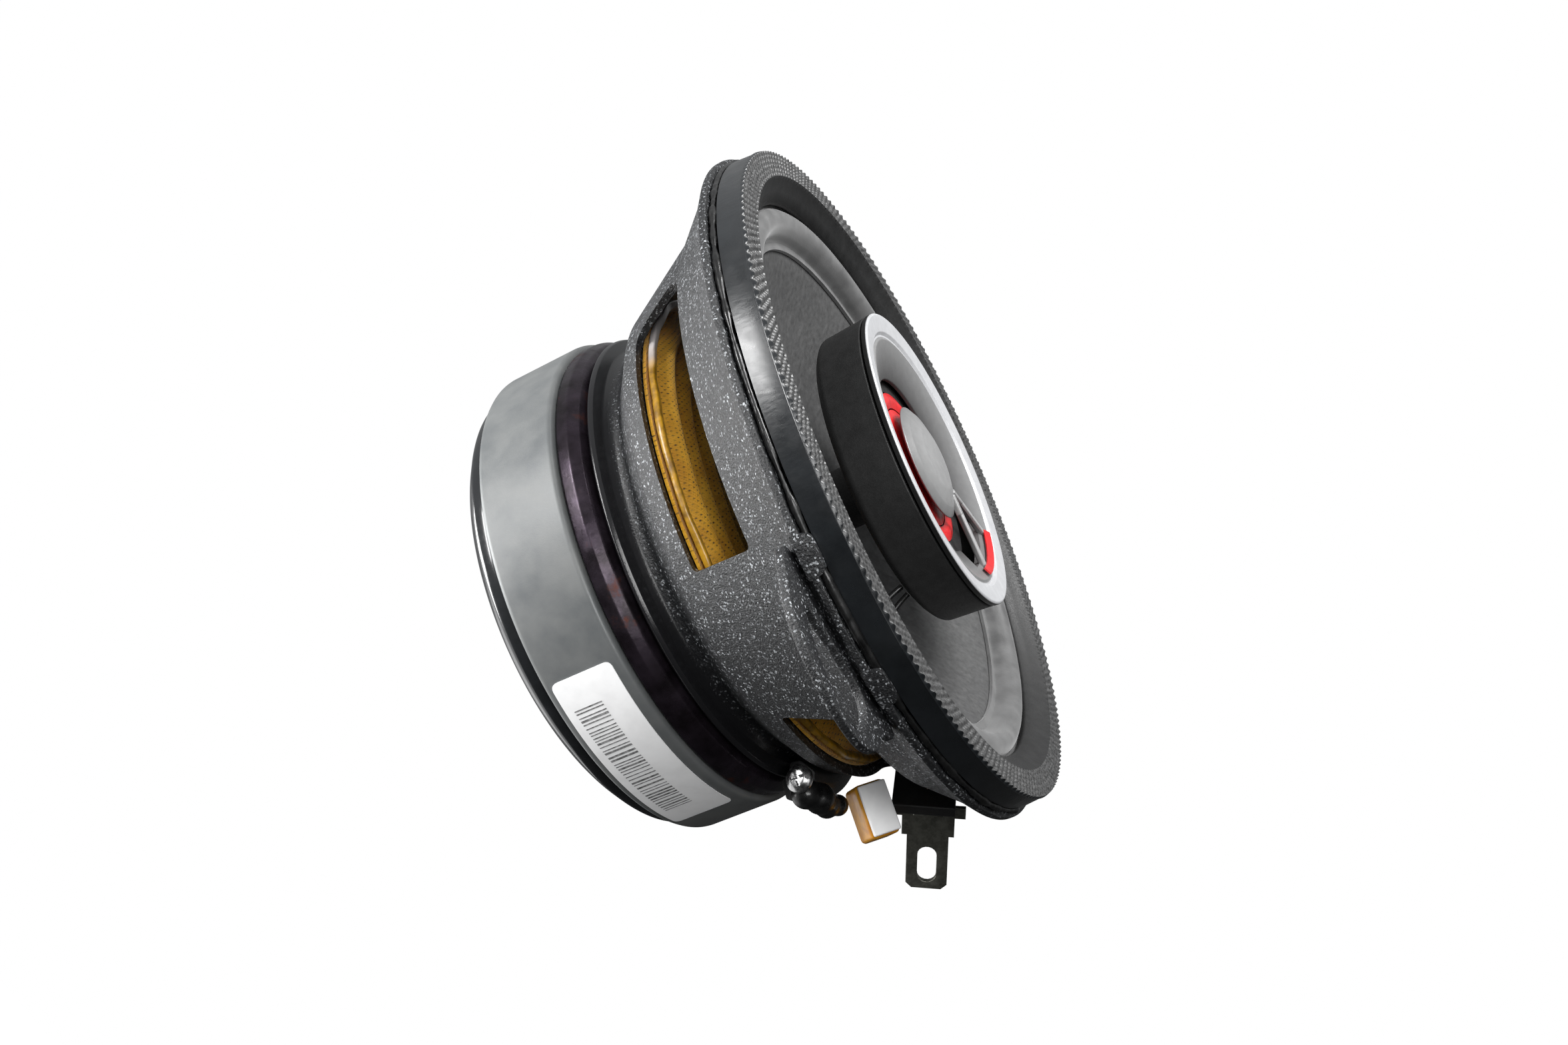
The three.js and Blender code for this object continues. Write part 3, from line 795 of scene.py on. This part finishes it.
EAR = [
    (48.2, -12.6), (55.6, -11.6), (59.4, -7.6), (61.2, -2), (61.4, 3), (60.2, 7.4), (57.2, 10.4),
    (52.6, 11.4), (48.2, 12.2),
]
EAR_SLOT = [
    (53.4, -7.6), (57.0, -4.6), (59.8, 1.6), (59.4, 5.6), (56.2, 7.3), (52.4, 6.4), (51.4, 3),
    (52.0, -2.2),
]
EAR_Z = (46.5, 47.6)
SHARP_CORNER = 0.9  # window corners next to the ears
SOFT_CORNER = 3.4  # window corners next to the struts that have no ear


def window_cutter(middle):
    """A radial prism with the window's rounded outline. Its soft corners face 0 or 180."""
    per_degree = math.radians(1) * 40
    soft_high = middle in (-45, 135)
    corners = []
    for side, z in ((-1, 0), (1, 0), (1, 1), (-1, 1)):
        soft = (side > 0) == soft_high
        corners.append((
            (middle + side * WINDOW_HALF) * per_degree, WINDOW_Z[z],
            SOFT_CORNER if soft else SHARP_CORNER,
        ))
    outline = [(s / per_degree, z) for s, z in rounded(corners, turns=8)]
    return curved_pad("window", outline, 33.0, 56.0, 1.25)


def ear_plate(deg):
    turn = Matrix.Translation((0, 0, sum(EAR_Z) / 2)) @ Matrix.Rotation(math.radians(deg), 4, "Z")
    outline = [tuple(p) for p in spline(EAR, 6, closed=True)]
    slot = [tuple(p) for p in spline(EAR_SLOT, 6, closed=True)]
    return plate("ear", outline, [slot], EAR_Z[1] - EAR_Z[0], turn, 0.22)


def rim_lobe(deg):
    """The rim's edge pressed forward over the front ring, beside an ear."""
    per_degree = math.radians(1) * 51.5
    corners = [(-2.9, 48.4, 0.3), (2.9, 48.4, 0.3), (2.5, 50.9, 1.3), (-2.5, 50.9, 1.3)]
    outline = [(deg + s / per_degree, z) for s, z in rounded(corners, turns=6)]
    return curved_pad("lobe", outline, 50.55, 51.42)


def make_basket():
    basket = lathe("basket_shell", rounded(BOWL))
    holes = [lathe("hole", [(0, 20), (1.9, 20), (1.9, 24), (0, 24)], 24,
                   matrix=Matrix.Translation(polar(RIVET_CIRCLE, deg))) for deg in RIVET_ANGLES]
    combine(basket, [window_cutter(deg) for deg in (-135, -45, 45, 135)] + holes, "DIFFERENCE")
    lobes = [rim_lobe(deg + offset) for deg in EAR_ANGLES for offset in LOBE_OFFSETS]
    combine(basket, [ear_plate(deg) for deg in EAR_ANGLES] + lobes, "UNION")
    finish_piece(basket, "sand_paint", nodes=["basket"], angle=40)
    head = rounded([
        (0, 18.8, 0), (1.6, 18.8, 0), (1.6, 22.4, 0), (2.8, 22.4, 0.2), (2.5, 23.4, 0.8), (0, 23.6, 0),
    ])
    for i, deg in enumerate(RIVET_ANGLES, 1):
        rivet = lathe(f"rivet_{i}", head, 32, matrix=Matrix.Translation(polar(RIVET_CIRCLE, deg)))
        finish_piece(rivet, "bright_steel", nodes=[f"basket_rivet_{i}"])


def glue_size(deg):
    """How far the bead bulges: uneven, and fuller round the ears."""
    spot = polar(7, deg)
    near_ear = min(abs((deg - ear + 180) % 360 - 180) for ear in EAR_ANGLES)
    fuller = 0.35 * max(0.0, 1 - near_ear / 15)
    return 0.42 + fuller + 0.28 * noise.noise(spot * 2.3) + 0.12 * noise.noise(spot * 9)


def make_glue_bead():
    """The black bead squeezed out between the rim and the front ring."""
    ring = [(math.cos(a), math.sin(a)) for a in (2 * math.pi * k / 14 for k in range(14))]

    def bulge(r, z, deg):
        size = glue_size(deg)
        drift = 0.18 * noise.noise(polar(5, deg) + Vector((0, 0, 3)))
        return 50.35 + drift + r * size, 50.2 + z * min(size, 0.62)

    bead = lathe("glue_bead", ring, 720, warp=bulge)
    finish_piece(bead, "black_glue", angle=180)


# ---- front ring ----
KNURL_PITCH = 1.4
KNURL_DEPTH = 0.42
KNURL_COUNT = 208
KNURL_R = (46.4, 50.0)


def make_gasket():
    """The moulded ring: smooth walls and a diamond-knurled face with a scalloped edge."""
    z0, z1 = GASKET_Z
    valley = z1 - KNURL_DEPTH
    across = 30
    face = [(KNURL_R[1] - (KNURL_R[1] - KNURL_R[0]) * k / across, valley) for k in range(across + 1)]
    wall = [
        (43.6, z0), (50.4, z0), (50.42, z0 + 0.3), (50.12, valley - 0.3), (50.2, valley - 0.15),
        (50.1, valley - 0.03),
    ]
    inner = [(46.2, valley + 0.3), (45.9, valley - 0.1), (44.6, 53.0), (43.3, 51.9), (43.2, 51.4)]

    def knurl(r, z, deg):
        if abs(z - valley) > 1e-6:
            return r, z
        around = math.cos(KNURL_COUNT * math.radians(deg))
        crest = around * math.cos(2 * math.pi * (KNURL_R[1] - r) / KNURL_PITCH)
        return r, z + KNURL_DEPTH * (0.5 + 0.5 * crest) ** 0.8

    ring = lathe("front_ring", wall + face + inner, KNURL_COUNT * 8, warp=knurl)
    finish_piece(ring, "gasket_wall", nodes=["gasket_ring"], angle=60)
    ring.data.materials.append(LOOKS["gasket_face"])
    ring.data.materials.append(LOOKS["black_plastic"])
    for face in ring.data.polygons:
        corners = [ring.data.vertices[i].co for i in face.vertices]
        if min(p.z for p in corners) >= (valley - 0.001) * MM:
            face.material_index = 1
        elif max(p.xy.length for p in corners) < 46.45 * MM:
            face.material_index = 2


# ---- cone, suspension and coil ----
CONE = [(13.0, 35.9), (15.0, 36.4), (22.0, 39.0), (30.0, 43.2), (36.8, 47.5), (38.6, 47.6)]
CONE_T = 0.5
DIMPLE_RINGS = ((22.5, 0), (26.0, 4), (29.5, 0), (33.0, 4))
DIMPLE_STEP = 8  # degrees between dimples in a ring
SURROUND = [
    (37.4, 48.4), (38.9, 48.5), (39.6, 50.2), (40.4, 51.3), (41.4, 51.5), (42.3, 50.9),
    (43.2, 49.9), (47.4, 49.9),
]
SURROUND_T = 0.5
SPIDER = [
    (37.3, 31.3), (35.4, 31.4), (33.6, 33.6), (31.5, 31.6), (29.4, 33.5), (27.3, 31.6), (25.2, 33.5),
    (23.1, 31.6), (21.0, 33.5), (18.9, 31.7), (16.8, 33.2), (13.1, 33.2),
]
SPIDER_T = 0.45


def dimple(r, z, deg):
    """Small lengthwise embossed marks on the cone, in staggered rings."""
    rise = 0.0
    for ring, offset in DIMPLE_RINGS:
        across = ((deg - offset + DIMPLE_STEP / 2) % DIMPLE_STEP - DIMPLE_STEP / 2) * math.radians(1) * r
        rise += math.exp(-((across / 0.32) ** 2) - ((r - ring) / 0.75) ** 2)
    return r, z + 0.14 * rise


def make_moving_parts():
    line = spline(CONE, 16)
    cone = lathe("cone_body", band(line, CONE_T), 720, warp=dimple)
    finish_piece(cone, "cone_pulp", "cone_assembly", ["cone"])
    roll = lathe("surround_roll", band(spline(SURROUND, 8), SURROUND_T), FINE)
    flexes(finish_piece(roll, "rubber", None, ["surround"]), 43.4, 38.9)
    web = lathe("spider_web", band(spline(SPIDER, 7), SPIDER_T), FINE)
    flexes(finish_piece(web, "amber_cloth", None, ["spider"]), 35.8, 14.0)
    z0, z1 = low("voice_coil_former").z, high("voice_coil_former").z
    former = lathe("coil_former", rounded([(12.3, z0), (12.6, z0), (12.6, z1), (12.3, z1)], 0.1, 2), MEDIUM)
    finish_piece(former, "former_film", "cone_assembly", ["voice_coil_former"])
    z0, z1 = low("voice_coil_winding").z, high("voice_coil_winding").z
    wires = [(13.0 + 0.3 * math.sin(a) ** 0.5, z) for a, z in (
        (math.pi * (0.1 + 0.8 * ((k % 8) / 7)), z0 + (z1 - z0) * k / 192) for k in range(193))]
    winding = lathe("coil_winding", [(12.7, z0)] + wires + [(12.7, z1)], MEDIUM)
    finish_piece(winding, "copper", "cone_assembly", ["voice_coil_winding"])

    def ragged(r, z, deg):
        return r + 0.3 * noise.noise(polar(6, deg)), z + 0.25 * (z > 32.3) * noise.noise(polar(9, deg))

    section = rounded([(35.6, 32.1), (37.4, 32.1), (37.2, 33.1), (36.2, 32.9)], 0.4)
    glue = lathe("spider_glue", section, 360, warp=ragged)
    finish_piece(glue, "adhesive", nodes=["spider_adhesive"])


# ---- tweeter ----
def make_tweeter():
    z0, z1 = HOUSING_Z
    floor = z0 + 1.7
    post_top = z0 - 0.3
    post = [
        (0, 9, 0), (1.9, 9, 0.3), (1.9, 21, 0), (7.0, 21, 0.3), (7.0, 23, 0.6), (4.6, 24.5, 0.8),
        (4.6, post_top, 0.3), (2.4, post_top, 0), (2.4, floor, 0.2), (0, floor, 0),
    ]
    stand = lathe("post", rounded(post), SMALL)
    finish_piece(stand, "black_plastic", nodes=["tweeter_post"])
    shell = [
        (2.8, z0, 0.2), (21.0, z0, 1.6), (22.4, 50.2, 1.2), (HOUSING_R, z1, 0.25), (21.3, z1, 0.2),
        (21.0, floor, 0.8), (2.8, floor, 0.2),
    ]
    finish_piece(lathe("tweeter_shell", rounded(shell, turns=8), FINE), "black_plastic",
                 nodes=["tweeter_housing"])
    inside = [
        ("tweeter_pot", "tweeter_cup", "bright_steel", "steel", "chassis",
         [(0, 51.2, 0), (10.6, 51.2), (10.6, 54.0), (9.7, 54.0), (9.7, 52.2), (0, 52.2, 0)]),
        ("tweeter_slug", "tweeter_magnet", "bright_steel", "steel", "chassis",
         [(0, 52.4, 0), (8.0, 52.4, 0.15), (8.0, 53.2, 0.15), (0, 53.2, 0)]),
        ("tweeter_pole", "tweeter_pole_plate", "bright_steel", "steel", "chassis",
         [(0, 53.4, 0), (8.2, 53.4, 0.1), (8.2, 53.9, 0.1), (0, 53.9, 0)]),
        ("tweeter_winding", "tweeter_coil", "copper", "copper", "tweeter_dome",
         [(8.6, 52.7, 0.1), (9.2, 52.7, 0.1), (9.2, 54.0, 0.1), (8.6, 54.0, 0.1)]),
        ("dome", "tweeter_diaphragm", "signal_red", "red", "tweeter_dome",
         [(0, 55.1, 0), (4.5, 54.9, 2), (8.0, 54.35, 1), (9.2, 54.15, 0.1), (9.2, 54.4, 0.1),
          (8.2, 54.65, 1), (4.7, 55.15, 2), (0, 55.35, 0)]),
        ("clamp_ring", "tweeter_clamp_ring", "black_plastic", "black_plastic", "chassis",
         [(12.0, 53.4), (15.5, 53.4), (15.5, 54.3), (12.0, 54.3)]),
    ]
    for name, node, look, slot, body, outline in inside:
        finish_piece(lathe(name, rounded(outline, 0.2), MEDIUM), look, body, [node])
    edge = lathe("dome_edge", band(spline([(9.5, 54.2), (10.6, 54.6), (11.7, 54.3)], 8), 0.25), MEDIUM)
    flexes(finish_piece(edge, "signal_red", None, ["tweeter_suspension"]), 11.8, 9.4)
    make_bezel()


def make_bezel():
    """Pale rim, flared mouth, phase plug and the two bars that carry it, as one moulding."""
    ring = [
        (22.9, 57.3, 0.1), (22.9, 58.0, 0.3), (22.6, RIM_Z, 0.3), (20.1, 57.82, 0.3), (19.7, 57.4, 0.15),
        (19.3, 57.4, 0.15), (19.0, 57.6, 0.3), (13.6, 55.4, 0.3), (13.6, 54.9, 0.1), (14.4, 54.7, 0.2),
        (20.6, 57.3, 0.3),
    ]
    bezel = lathe("bezel", rounded(ring, turns=6), FINE)
    plug = [
        (0, 55.9, 0), (PLUG_R - 0.6, 55.9, 0.2), (PLUG_R, 56.2, 0.3), (7.4, 57.0, 1.4), (4.8, 57.7, 2.5),
        (2.0, 58.0, 2), (0, 58.1, 0),
    ]
    mouth = [(12, 54), (16.8, 54), (16.8, 59), (12, 59)]
    start, end = BEZEL_OPENING
    combine(bezel, [lathe("opening", mouth, 54, start, end - start)], "DIFFERENCE")
    centre = lathe("plug", rounded(plug, turns=8), MEDIUM)
    bars = []
    for side in (-1, 1):
        a = polar(6.2, BAR_ANGLE + side * BAR_SPREAD[0])
        b = polar(19.8, BAR_ANGLE + side * BAR_SPREAD[1])
        heading = math.atan2(b.y - a.y, b.x - a.x)
        middle = (a + b) / 2 + Vector((0, 0, 57.0))
        place = Matrix.Translation(middle) @ Matrix.Rotation(heading, 4, "Z")
        bars.append(block("bar", ((b - a).length, BAR_WIDTH, 1.0), place, 0.22, 3))
    combine(bezel, [centre, *bars], "UNION")
    finish_piece(bezel, "satin_grey", nodes=["tweeter_bezel"], angle=30)
    accent = [(17.4, 57.35, 0.05), (18.6, 57.9, 0.05), (18.55, 58.15, 0.1), (17.35, 57.6, 0.1)]
    start, end = ACCENT_ANGLES
    inlay = lathe("accent", rounded(accent), 84, start, end - start)
    finish_piece(inlay, "signal_red", nodes=["accent_inlay"])


# ---- terminals, crossover part and leads ----
TAB_NECK = (3.0, 4.9, 8.3)  # where a tab's foot, shoulder and blade start


def tab_outline(width, length):
    half = width / 2
    foot, shoulder, blade = TAB_NECK
    end = blade + length
    upper = [
        (foot, half + 2.4), (shoulder, half + 2.4), (shoulder, half + 0.8), (blade, half + 0.8),
        (blade, half), (end - 0.9, half), (end, half - 0.9),
    ]
    return [(x, -y) for x, y in upper] + [(x, y) for x, y in reversed(upper)]


def slot_hole(centre, length, width):
    """A slot's outline: two half circles, each in steps of 20 degrees."""
    reach = (length - width) / 2

    def turn(x, start):
        return [(x + math.cos(math.radians(start + 20 * i)) * width / 2,
                 math.sin(math.radians(start + 20 * i)) * width / 2) for i in range(10)]

    return turn(centre + reach, -90) + turn(centre - reach, 90)


def make_tab(name, node, width, length, y):
    place = BOARD @ Matrix.Translation((0, y, TAB_RISE)) @ Matrix.Rotation(math.radians(90), 4, "X")
    hole = slot_hole(TAB_NECK[2] + length * 0.54, length * 0.66, width * 0.46)
    tab = plate(name, tab_outline(width, length), [hole], 0.8, place, 0.1)
    foot = block("foot", (0.8, 5, width * 0.7), BOARD @ Matrix.Translation((3.0, y, TAB_RISE)), 0.15)
    combine(tab, [foot], "UNION")
    finish_piece(tab, "terminal_metal", nodes=[node])


def make_terminals():
    board = block("board", (1.6, 37, 9.4), BOARD @ Matrix.Translation((1.5, 0, 1.6)), 0.25)
    finish_piece(board, "black_plastic", nodes=["terminal_board"])
    head = rounded([(0, 2.3, 0), (2.6, 2.3, 0.2), (2.2, 3.4, 0.6), (0, 3.6, 0)])
    for i, side in enumerate((-1, 1), 1):
        place = BOARD @ Matrix.Translation((0, side * 5, 1.6)) @ Matrix.Rotation(math.radians(90), 4, "Y")
        rivet = lathe(f"board_pin_{i}", head, 40, matrix=place)
        finish_piece(rivet, "bright_steel", nodes=[f"board_rivet_{i}"])
    beads = [  # place in the board's frame, and size, of each ball
        (3.6, -12.4, 1.6, 1.1), (3.5, -11.0, 0.8, 1.2), (3.4, -9.3, 0.0, 1.0), (3.3, -7.6, -0.8, 0.8),
    ]
    solder = blob("solder_joint", [(BOARD @ Vector((x, y, z)), size) for x, y, z, size in beads])
    finish_piece(solder, "braid", angle=180)
    make_tab("tab_positive", "terminal_positive", width=6.3, length=9.7, y=-TAB_Y)
    make_tab("tab_negative", "terminal_negative", width=4.8, length=8.2, y=TAB_Y)


CLIP_ANGLES = (-44, 10)
SCREW_ANGLE = -46.2
CAPACITOR_AT = (43.9, -29.3, 29.5)  # radius, angle and height of its middle
CAPACITOR_SIZE = (8.0, 6.5, 4.6)


def make_crossover():
    profile = [
        (36.3, 21.4), (39.2, 21.4), (40.2, 22.8), (39.8, 24.4), (38.2, 26.4), (37.0, 26.8),
        (34.6, 25.0), (34.4, 23.4), (36.3, 22.5),
    ]
    start, end = CLIP_ANGLES
    clip = bevelled(lathe("clip", rounded(profile, 0.6), 64, start, end - start), 0.3)
    finish_piece(clip, "black_plastic", nodes=["crossover_clip"])
    place = (Matrix.Translation(polar(38.2, SCREW_ANGLE, 25.4))
             @ Matrix.Rotation(math.radians(SCREW_ANGLE), 4, "Z") @ Matrix.Rotation(math.radians(90), 4, "X"))
    head = rounded([
        (0, 0, 0), (1.1, 0, 0.1), (1.1, 1.2, 0), (2.0, 1.2, 0.2), (2.0, 1.9, 0.5), (1.2, 2.6, 0.8),
        (0, 2.7, 0),
    ])
    screw = lathe("screw", head, 48, matrix=place)
    cross = [block("cross", size, place @ Matrix.Translation((0, 0, 2.6)), 0.08)
             for size in ((2.4, 0.5, 1.4), (0.5, 2.4, 1.4))]
    combine(screw, cross, "DIFFERENCE")
    finish_piece(screw, "bright_steel", nodes=["clip_screw"])
    seat = (Matrix.Translation(polar(*CAPACITOR_AT)) @ Matrix.Rotation(math.radians(-33), 4, "Z")
            @ Matrix.Rotation(math.radians(-35), 4, "X"))
    case = block("capacitor", CAPACITOR_SIZE, seat, 0.7, 4)
    finish_piece(case, "orange_case", nodes=["crossover_capacitor"])
    pad = block("pad", (7.4, 0.8, 4.2), seat @ Matrix.Translation((0, -3.95, 0)), 0.25)
    finish_piece(pad, "white_paper", nodes=["capacitor_pad"])
    lumps = [  # radius, angle, height and size of each ball
        (39.6, -44.0, 24.6, 2.2), (40.4, -41.0, 25.6, 2.3), (41.2, -38.2, 25.6, 2.0),
        (41.6, -36.0, 26.6, 1.6),
    ]
    dab = blob("clip_glue", [(polar(r, deg, z), size) for r, deg, z, size in lumps])
    finish_piece(dab, "black_glue", angle=180)


# Each lead's line as radius, angle and height. The two of a pair mirror each other.
CONE_LEAD = [
    (44.3, 19.2, 36.6), (41.0, 20.6, 36.9), (36.5, 21, 37.0), (31.0, 19.5, 36.4), (26.0, 17, 36.8),
    (22.8, 14, 38.1),
]
TWEETER_LEAD_ANGLE = -60
TWEETER_LEAD_SPREAD = 0.25  # share of the listed angles that the two leads keep between them
TWEETER_LEAD = [(20.0, 12, 48.7), (21.5, 14, 46.2), (24.5, 15, 43.4), (27.5, 16, 43.2)]


def make_leads():
    for i, side in enumerate((-1, 1), 1):
        route = [polar(r, side * deg, z) for r, deg, z in CONE_LEAD]
        tinsel = cable(f"tinsel_{i}", route, 0.4, 4, 0.35)
        finish_piece(tinsel, "braid", None, [f"tinsel_lead_{i}"], 60)
        flexes(tinsel, 44.0, 24.0)
        route = [polar(r, TWEETER_LEAD_ANGLE + side * deg * TWEETER_LEAD_SPREAD, z)
                 for r, deg, z in TWEETER_LEAD]
        wire = cable(f"tweeter_wire_{i}", route, 0.4)
        finish_piece(wire, "black_glue", None, [f"tweeter_lead_{i}"], 60)
        flexes(wire, 21.0, 26.0)


# ---- camera, floor and light ----
# Where the camera stands, where it looks and which way its right hand side points.
CAMERA_AT = Vector((-65.5, -199.7, 98.6))
CAMERA_AHEAD = Vector((0.295, 0.907, -0.300))
CAMERA_RIGHT = Vector((0.473, 0.135, 0.871))
LENS = 33.66


def make_camera():
    ahead = CAMERA_AHEAD.normalized()
    up = CAMERA_RIGHT.cross(ahead).normalized()
    right = ahead.cross(up)
    turn = Matrix((right, up, -ahead)).transposed()
    camera = bpy.data.objects.new("camera", bpy.data.cameras.new("camera"))
    camera.data.lens = LENS
    camera.data.clip_start = 0.01
    camera.matrix_world = Matrix.Translation(CAMERA_AT * MM) @ turn.to_4x4()
    bpy.context.scene.collection.objects.link(camera)
    bpy.context.scene.camera = camera


def make_floor():
    side, depth = 600, -900
    corners = [(-side, -side, depth), (side, -side, depth), (side, side, depth), (-side, side, depth)]
    floor = mesh_object("floor", corners, [(0, 1, 2, 3)])
    floor.data.materials.append(LOOKS["pale_floor"])


def softbox(name, direction, distance, width, height, power):
    """An area light that faces the speaker's middle from a direction."""
    light = bpy.data.lights.new(name, "AREA")
    light.shape = "RECTANGLE"
    light.size, light.size_y = width * MM, height * MM
    light.energy = power
    obj = bpy.data.objects.new(name, light)
    away = Vector(direction).normalized()
    obj.location = (away * distance + Vector((0, 0, 30))) * MM
    obj.rotation_euler = away.to_track_quat("Z", "Y").to_euler()
    obj.visible_camera = False
    bpy.context.scene.collection.objects.link(obj)


BRIGHT_SIDE = (-0.83, 0.40, 0.39)  # the half of the room that the soft fill comes from


def fill_strength(nodes, links):
    """Soft fill that fades from the bright side of the room to the dark side."""
    where = nodes.new("ShaderNodeTexCoord")
    along = nodes.new("ShaderNodeVectorMath")
    along.operation = "DOT_PRODUCT"
    along.inputs[1].default_value = BRIGHT_SIDE
    links.new(where.outputs["Generated"], along.inputs[0])
    fade = nodes.new("ShaderNodeMapRange")
    for key, number in (("From Min", -0.5), ("From Max", 0.9), ("To Min", 0.03), ("To Max", 0.5)):
        fade.inputs[key].default_value = number
    links.new(along.outputs["Value"], fade.inputs["Value"])
    return fade.outputs["Result"]


def make_light():
    world = bpy.data.worlds.new("studio")
    world.use_nodes = True
    nodes, links = world.node_tree.nodes, world.node_tree.links
    backdrop = nodes["Background"]
    backdrop.inputs["Color"].default_value = (1, 1, 1, 1)
    backdrop.inputs["Strength"].default_value = 1.0
    fill = nodes.new("ShaderNodeBackground")
    fill.inputs["Color"].default_value = (0.97, 0.985, 1, 1)
    links.new(fill_strength(nodes, links), fill.inputs["Strength"])
    seen = nodes.new("ShaderNodeLightPath")
    mix = nodes.new("ShaderNodeMixShader")
    links.new(seen.outputs["Is Camera Ray"], mix.inputs[0])
    links.new(fill.outputs[0], mix.inputs[1])
    links.new(backdrop.outputs[0], mix.inputs[2])
    links.new(mix.outputs[0], nodes["World Output"].inputs["Surface"])
    bpy.context.scene.world = world
    softbox("key", (-0.90, -0.36, -0.22), 420, 170, 130, 1.4)
    softbox("side", (-0.35, -0.72, 0.60), 480, 260, 260, 1.5)
    softbox("rear", (-0.5, -0.1, -0.86), 330, 160, 160, 1.7)
    softbox("front", (-0.45, 0.1, 0.9), 450, 200, 200, 2.6)
    bpy.context.scene.view_settings.view_transform = "Standard"


make_camera()
make_floor()
make_light()
make_motor()
make_basket()
make_glue_bead()
make_gasket()
make_moving_parts()
make_tweeter()
make_terminals()
make_crossover()
make_leads()
